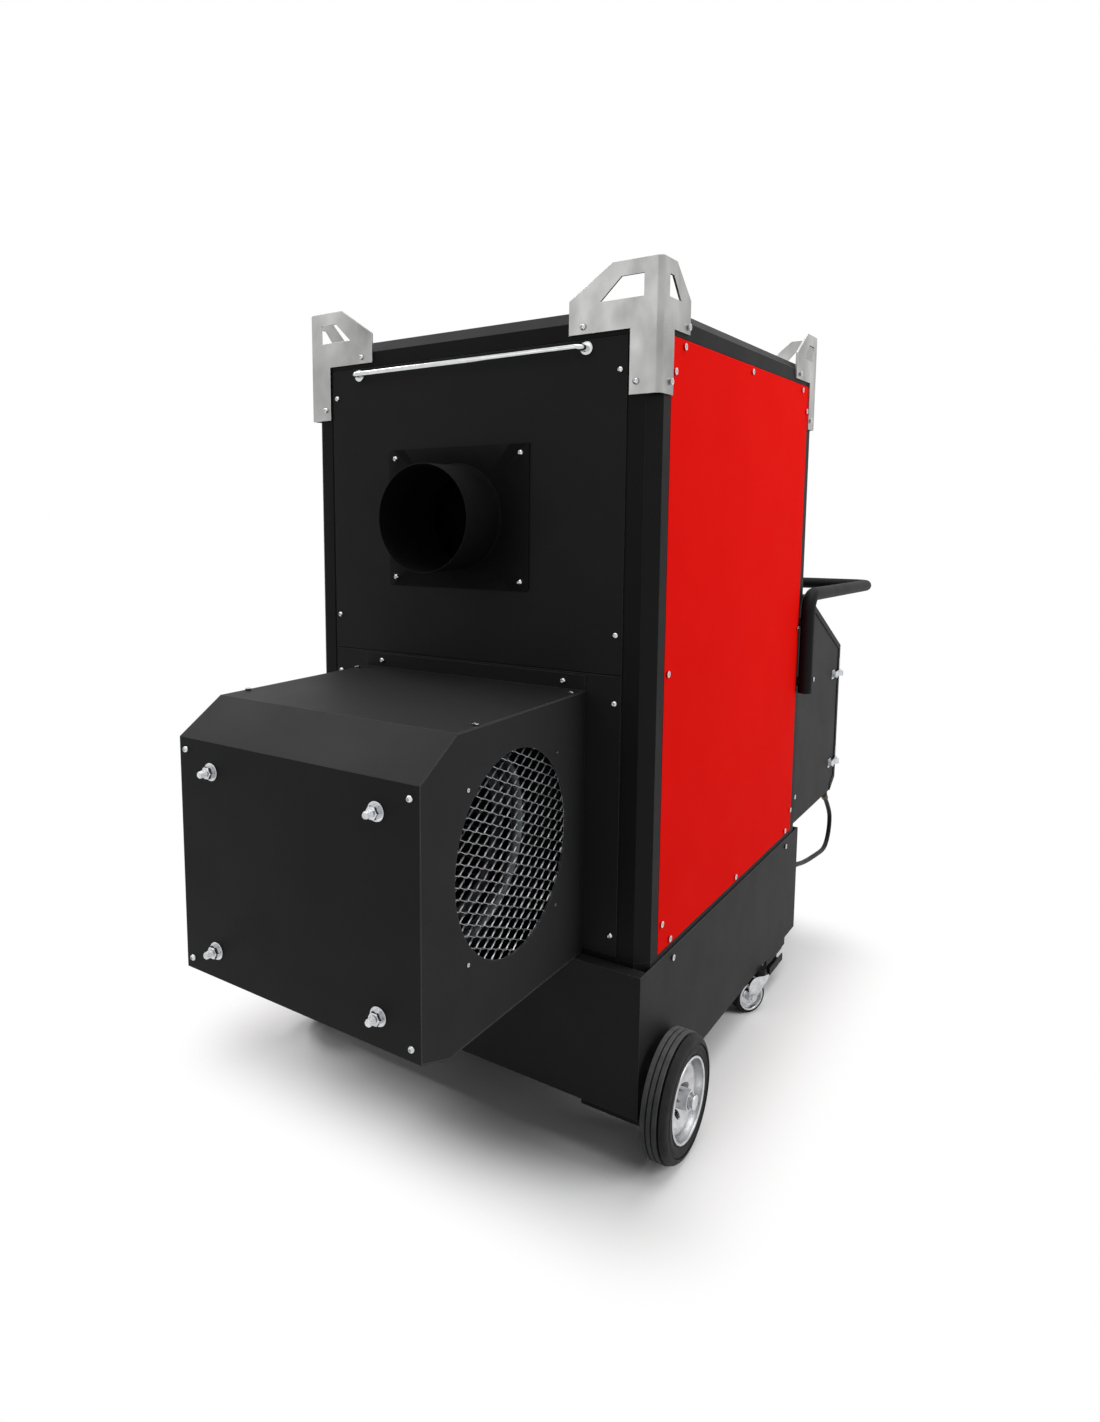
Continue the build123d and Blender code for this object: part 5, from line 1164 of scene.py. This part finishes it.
@dataclass
class PushHandle:
    """Bent tube handle on the rear pillars."""

    radius_mm: float = 16.0
    bend_mm: float = 46.0
    leg_y_mm: float = 893.0
    top_mm: float = 958.0
    end_z_mm: float = 940.0
    pad_mm: float = 11.0
    pad_sunk_mm: float = 3.0
    wall_mm: float = 380.0
    pad_heights_mm: Pair = (745.0, 890.0)

    def build(self) -> None:
        """Sweep the tube along its rounded path, cap its legs and add the spacers."""
        low, high = corners_of("push_handle")
        r, top, end = self.radius_mm * MM, self.top_mm * MM, self.end_z_mm * MM
        x, leg, grip = high[0] - r, (self.leg_y_mm + SHIFT_Y_MM) * MM, high[1] - r
        corners = np.array([(x, leg, low[2]), (x, leg, top), (x, grip, end),
                            (-x, grip, end), (-x, leg, top), (-x, leg, low[2])])
        parts = [tube(rounded_path(corners, self.bend_mm * MM, 20), r, 40)]
        face = x / MM - self.radius_mm + self.pad_sunk_mm
        profile = [(0, self.wall_mm), (self.pad_mm, self.wall_mm), (self.pad_mm, face), (0, x / MM)]
        for side in Side:
            pad = [(reach, side.value * out) for reach, out in profile]
            parts += [turned(pad, Axis.X, (0, leg, z * MM), 28, closed=False) for z in self.pad_heights_mm]
        whole = Surface.join(parts)
        whole.build("push_handle_tube", BLACK_FRAME, "black_paint", "push_handle", sharp_deg=40)


@dataclass
class RunningGear:
    """Base with the tank, front wheels and rear castors."""

    tyre_mm: float = 115.0
    tyre_half_mm: float = 24.0
    shoulder_mm: float = 15.0
    rib_edges_mm: Tuple[float, ...] = (-21.0, -12.5, -10.0, -2.5, 0.0, 8.0)
    rib_height_mm: float = 1.6
    rib_root_mm: float = 3.0
    rib_round_mm: Pair = (0.6, 0.7)
    well_mm: float = 72.0
    lip_mm: float = 77.0
    lip_bead_mm: float = 2.6
    hub_mm: float = 19.0
    hub_start_mm: float = -13.0
    hub_end_mm: float = 25.5
    bore_mm: float = 10.05
    socket_mm: float = 14.6
    socket_start_mm: float = 13.2
    well_sheet_mm: float = 2.0
    dish_mm: Pair = (-11.0, 14.0)
    dish_edge_mm: float = 56.0
    crease_mm: float = 2.2
    crease_width_mm: float = 3.0
    trough_mm: float = 13.0
    trough_power: float = 1.3
    hole_mm: float = 7.8
    hole_ring_mm: float = 36.0
    hole_turn_deg: float = -89.0
    disc_mm: float = 2.5
    axle_cap_mm: float = 13.4
    axle_cap_start_mm: float = 22.0
    axle_cap_reach_mm: float = 35.0
    castor_turn_deg: float = 30.0
    castor_mm: float = 40.0
    castor_half_mm: float = 15.0
    castor_rim_mm: float = 33.9
    castor_web_mm: float = 4.0
    castor_hub_mm: float = 12.0
    castor_hub_half_mm: float = 17.0
    castor_bore_mm: float = 5.05

    def wheel_piece(self, shape: Surface, name: str, side: Side, body: str, finish: Finish, slot: str,
                    *nodes: str) -> None:
        """Build a wheel's piece for its side and let it ride and replace.

        Args:
            shape: the surface as on the right-hand side, at its real place.
            name: piece name without the side.
            side: which side.
            body: body name without the side.
            finish: its finish.
            slot: the record's material slot.
            nodes: names without the side of the CAD nodes that it stands for.
        """
        end = "_" + side.name.lower()
        placed = shape if side is Side.RIGHT else shape.mirrored()
        placed.build(name + end, finish, slot, *[node + end for node in nodes],
                     body=body if body == "cabinet" else body + end, sharp_deg=34)

    def tyre(self) -> Surface:
        """Solid tyre: flat bed, round shoulders, a raised bead line on the side wall, turned about the axle.

        Returns:
            The surface, centred on the wheel.
        """
        h, r, s = self.tyre_half_mm, self.tyre_mm - self.rib_height_mm, self.shoulder_mm
        outer = arc((r - s, h - s), s, 90, 12, 12)
        outer += [(94.0, h - 0.6), (91.6, h - 0.7), (91.0, h + 0.1), (89.4, h + 0.1), (88.8, h - 0.8),
                  (80.5, h - 1.2), (78.6, h - 2.4), (77.0, h - 5.0), (self.well_mm, h - 6.0)]
        return turned(both_sides(outer), Axis.X, ORIGIN, 128)

    def ribs(self) -> Surface:
        """Three tread ribs, each a low bar with rounded edges turned about the axle.

        Returns:
            The surface, centred on the wheel.
        """
        edges, top = self.rib_edges_mm, self.tyre_mm
        foot = top - self.rib_height_mm - self.rib_root_mm
        low, ease = top - self.rib_round_mm[0], self.rib_round_mm[1]
        bars = [[(foot, a), (low, a), (top, a + ease), (top, b - ease), (low, b), (foot, b)]
                for a, b in zip(edges[::2], edges[1::2])]
        return Surface.join([turned(bar, Axis.X, ORIGIN, 128) for bar in bars])

    def rim(self) -> Surface:
        """Pressed wheel: a rolled well with a bright bead at its lip, a dished disc and a long hub tube.

        Returns:
            The surface, centred on the wheel.
        """
        h, w, lip, bead = self.tyre_half_mm, self.well_mm, self.lip_mm, self.lip_bead_mm
        t = self.well_sheet_mm
        roll = arc((lip - bead, h + 0.4 - bead), bead, -60, 200, 16)
        well = [(w - t, -h), (lip, -h), (lip, t - h), (w, 4 - h), (w, h - 7)] + roll + [(w - t, h - 8)]
        bore, hub, mouth = self.bore_mm, self.hub_mm, self.socket_mm
        start, end, step = self.hub_start_mm, self.hub_end_mm, self.socket_start_mm
        tube_wall = [(bore, start), (hub, start), (hub, end - 0.8), (hub - 0.8, end), (mouth + 0.3, end),
                     (mouth, end - 0.4), (mouth, step), (bore, step)]
        turns = [turned(shape, Axis.X, ORIGIN, 128) for shape in (well, tube_wall)]
        return Surface.join(turns + [self.dish()])

    def dish(self, steps: int = 192, rows: int = 44) -> Surface:
        """Dished disc with four round holes: x(r) is a straight cone up to its edge, then a round trough.

        The grid is polar. Quads inside a hole are left out, and the border so made goes to the circle.

        Args:
            steps: steps around.
            rows: rows from hub to well.

        Returns:
            The closed disc, centred on the wheel.
        """
        deep, proud = self.dish_mm
        inner, edge, outer = self.hub_mm - 0.4, self.dish_edge_mm, self.well_mm - 0.6
        r = np.linspace(inner, outer, rows)
        cone = deep + (proud - deep) * (r - inner) / (edge - inner)
        share = np.clip((r - edge) / (outer - edge), 0, 1)
        trough = proud - self.trough_mm * share ** self.trough_power
        crease = self.crease_mm * np.exp(-((r - edge) / self.crease_width_mm) ** 2)
        x = np.where(r < edge, cone, trough) - crease
        points = r[:, None, None] * np.insert(around(steps), 0, 0, axis=1)
        points[..., 0] = x[:, None]
        skin = Surface.grid(points, close_v=True)
        holes = self.hole_ring_mm * around(4, math.radians(self.hole_turn_deg))
        away = skin.points[:, None, 1:] - holes[None]
        gap = np.linalg.norm(away, axis=-1)
        near, least = gap.argmin(1), gap.min(1)
        middle = skin.points[skin.quads].mean(1)[:, None, 1:]
        inside = np.linalg.norm(middle - holes[None], axis=-1).min(1) < self.hole_mm
        border = np.intersect1d(skin.quads[inside], skin.quads[~inside])
        reach = away[border, near[border]] / least[border, None] * self.hole_mm
        skin.points[border, 1:] = holes[near[border]] + reach
        used = Surface(skin.points, skin.quads[~inside]).thickened((-self.disc_mm, 0.0, 0.0))
        kept, order = np.unique(used.quads, return_inverse=True)
        return Surface(used.points[kept] * MM, order.reshape(used.quads.shape))

    def axle_cap(self) -> Surface:
        """Round cap on the axle's end, proud of the rim, with a groove behind its face.

        Returns:
            The surface, centred on the wheel.
        """
        r, foot, end = self.axle_cap_mm, self.axle_cap_start_mm, self.axle_cap_reach_mm
        profile = [(0, foot), (r, foot), (r, end - 5.2), (r - 1, end - 4.6), (r - 1, end - 3.9)]
        profile += [(r, end - 3.3)] + arc((r - 1.4, end - 1.4), 1.4, 0, 80, 5)
        profile += [(r * 0.55, end), (r * 0.5, end - 0.5), (0, end - 0.5)]
        return turned(profile, Axis.X, ORIGIN, 64, closed=False)

    def castor_place(self) -> np.ndarray:
        """Placement of the right-hand castor wheel, whose axle is turned away from X about Z.

        Returns:
            One 4 by 4 placement in an array.
        """
        turn = math.radians(self.castor_turn_deg)
        along, across = (math.cos(turn), -math.sin(turn), 0.0), (math.sin(turn), math.cos(turn), 0.0)
        return placement(along, across, (0.0, 0.0, 1.0), centre_of("castor_tyre_right"))[None]

    def castor_tyre(self) -> Surface:
        """Castor tread: a crowned band with round shoulders, turned about its axle.

        Returns:
            The surface, centred on the castor wheel.
        """
        r, h, inner = self.castor_mm, self.castor_half_mm, self.castor_rim_mm
        right = [(r, 0.0), (r - 0.25, 5.5)] + arc((r - 5.2, h - 4.8), 4.8, 62, 0, 8)
        right += [(inner + 0.4, h), (inner, h - 0.8)]
        return turned([(out, -x) for out, x in right[:0:-1]] + right, Axis.X, ORIGIN, 72)

    def castor_rim(self) -> Surface:
        """Castor wheel centre: an outer ring, a recessed disc with a step, and a hub, turned about its axle.

        Returns:
            The surface, centred on the castor wheel.
        """
        r, h, web = self.castor_rim_mm, self.castor_half_mm, self.castor_web_mm
        hub, end = self.castor_hub_mm, self.castor_hub_half_mm
        right = [(self.castor_bore_mm, end), (hub - 0.8, end), (hub, end - 0.8), (hub, web + 1.5),
                 (hub + 1.5, web), (r - 11.0, web), (r - 9.0, web + 2.4), (r - 6.0, web + 2.6),
                 (r - 4.4, h - 1.2), (r - 3.6, h - 0.3), (r - 0.8, h - 0.3), (r, h - 1.0)]
        return turned(both_sides(right), Axis.X, ORIGIN, 72)

    def build(self) -> None:
        """Dress the base and make the wheels."""
        dress(BLACK_POWDER, "base_shell", "rear_channels")
        dress(BLACK_FRAME, "front_axle_brackets", "castor_heads")
        dress(TANK_PLASTIC, "fuel_tank")
        dress(BLACK_PLASTIC, "fuel_cap")
        dress(ZINC, "castor_fork_right", "castor_fork_left")
        wheel = centre_of("front_rim_right")
        wheel[0] = centre_of("front_tyre_right")[0]
        place = self.castor_place()
        parts = (
            (self.tyre().moved(wheel), "tyre", "front_wheel", TYRE_RUBBER, "tyre_rubber", "front_tyre"),
            (self.ribs().moved(wheel), "tread_ribs", "front_wheel", TREAD_RUBBER, "tyre_rubber"),
            (self.rim().moved(wheel), "pressed_rim", "front_wheel", WHEEL_ZINC, "zinc_plate", "front_rim"),
            (self.axle_cap().moved(wheel), "axle_cap", "cabinet", ZINC, "zinc_plate"),
            (self.castor_tyre().repeated(place), "castor_tread", "castor_wheel", CASTOR_RUBBER,
             "castor_rubber", "castor_tyre"),
            (self.castor_rim().repeated(place), "castor_centre", "castor_wheel", ZINC, "zinc_plate",
             "castor_rim"))
        for side in Side:
            for shape, name, *rest in parts:
                self.wheel_piece(shape, name, side, *rest)


@dataclass
class Fasteners:
    """Button head screws and blind rivets, each where its CAD head is."""

    apart_mm: float = 12.5
    screw_mm: float = 5.9
    screw_height_mm: float = 5.6
    rivet_mm: float = 3.2
    rivet_height_mm: float = 1.6
    rivet_below: float = 1.5
    least_m: float = 1e-5

    def places(self) -> Tuple[np.ndarray, np.ndarray]:
        """Placements of the screws and of the rivets, from the CAD node's groups of near points.

        A group's thinnest direction is the head's axis. The end whose points lie further out is the foot.

        Returns:
            Arrays of 4 by 4 placements for the screws and for the rivets.
        """
        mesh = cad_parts["screws_and_rivets"].data
        flat = np.empty(len(mesh.vertices) * 3)
        mesh.vertices.foreach_get("co", flat)
        left = flat.reshape(-1, 3)
        found = ([], [])
        while len(left):
            near = np.linalg.norm(left - left[0], axis=1) < self.apart_mm * MM
            head, left = left[near], left[~near]
            low, high = head.min(0), head.max(0)
            axis = int((high - low).argmin())
            middle = (low + high) / 2
            spread = np.linalg.norm(np.delete(head - middle, axis, axis=1), axis=1)
            upper = head[:, axis] > middle[axis]
            outward = np.zeros(3)
            narrow = spread[upper].max() < spread[~upper].max() - self.least_m
            outward[axis] = 1.0 if narrow else -1.0
            middle[axis] = low[axis] if outward[axis] > 0 else high[axis]
            small = (high - low).max() < self.screw_mm * self.rivet_below * MM
            found[int(small)].append(facing(middle, outward))
        return np.array(found[0]), np.array(found[1])

    def screw(self) -> Surface:
        """Button head with a socket: r = R cos a, h = H sin a from the foot up, then down into the socket.

        Returns:
            The surface, from its foot along Z.
        """
        r, h = self.screw_mm, self.screw_height_mm
        rise = np.radians(np.linspace(8, 62, 6))
        dome = [(r * math.cos(a), h * math.sin(a) / math.sin(rise[-1])) for a in rise]
        profile = [(r * 0.5, 0), (r, 0)] + dome + [(r * 0.40, h * 0.97), (r * 0.36, h * 0.45), (0, h * 0.42)]
        return turned(profile, Axis.Z, ORIGIN, 18, closed=False)

    def rivet(self) -> Surface:
        """Low domed rivet head with the mark of its mandrel in the middle, turned about Z.

        Returns:
            The surface, from its foot along Z.
        """
        shares = ((0.5, 0), (1, 0), (0.96, 0.4), (0.8, 0.8), (0.5, 1), (0.34, 0.95), (0.3, 0.6), (0, 0.55))
        profile = [(self.rivet_mm * out, self.rivet_height_mm * up) for out, up in shares]
        return turned(profile, Axis.Z, ORIGIN, 14, closed=False)

    def build(self) -> None:
        """Make all heads as one piece."""
        screws, rivets = self.places()
        heads = Surface.join([self.screw().repeated(screws), self.rivet().repeated(rivets)])
        heads.build("button_heads_and_rivets", ZINC, "zinc_plate", "screws_and_rivets", sharp_deg=40,
                    weld_mm=0.001)
        log.info("%d screws, %d rivets", len(screws), len(rivets))


def main() -> None:
    """Build the studio, the hose and every sub-assembly in order."""
    logging.basicConfig(level=logging.INFO, format="%(name)s %(message)s")
    for part in (Studio(), FuelHose(), Cabinet(), FlueSpigot(), FanBox(), Burner(), PushHandle(),
                 RunningGear(), Fasteners()):
        part.build()
        log.info("%s done", type(part).__name__)


if __name__ == "__main__":
    main()
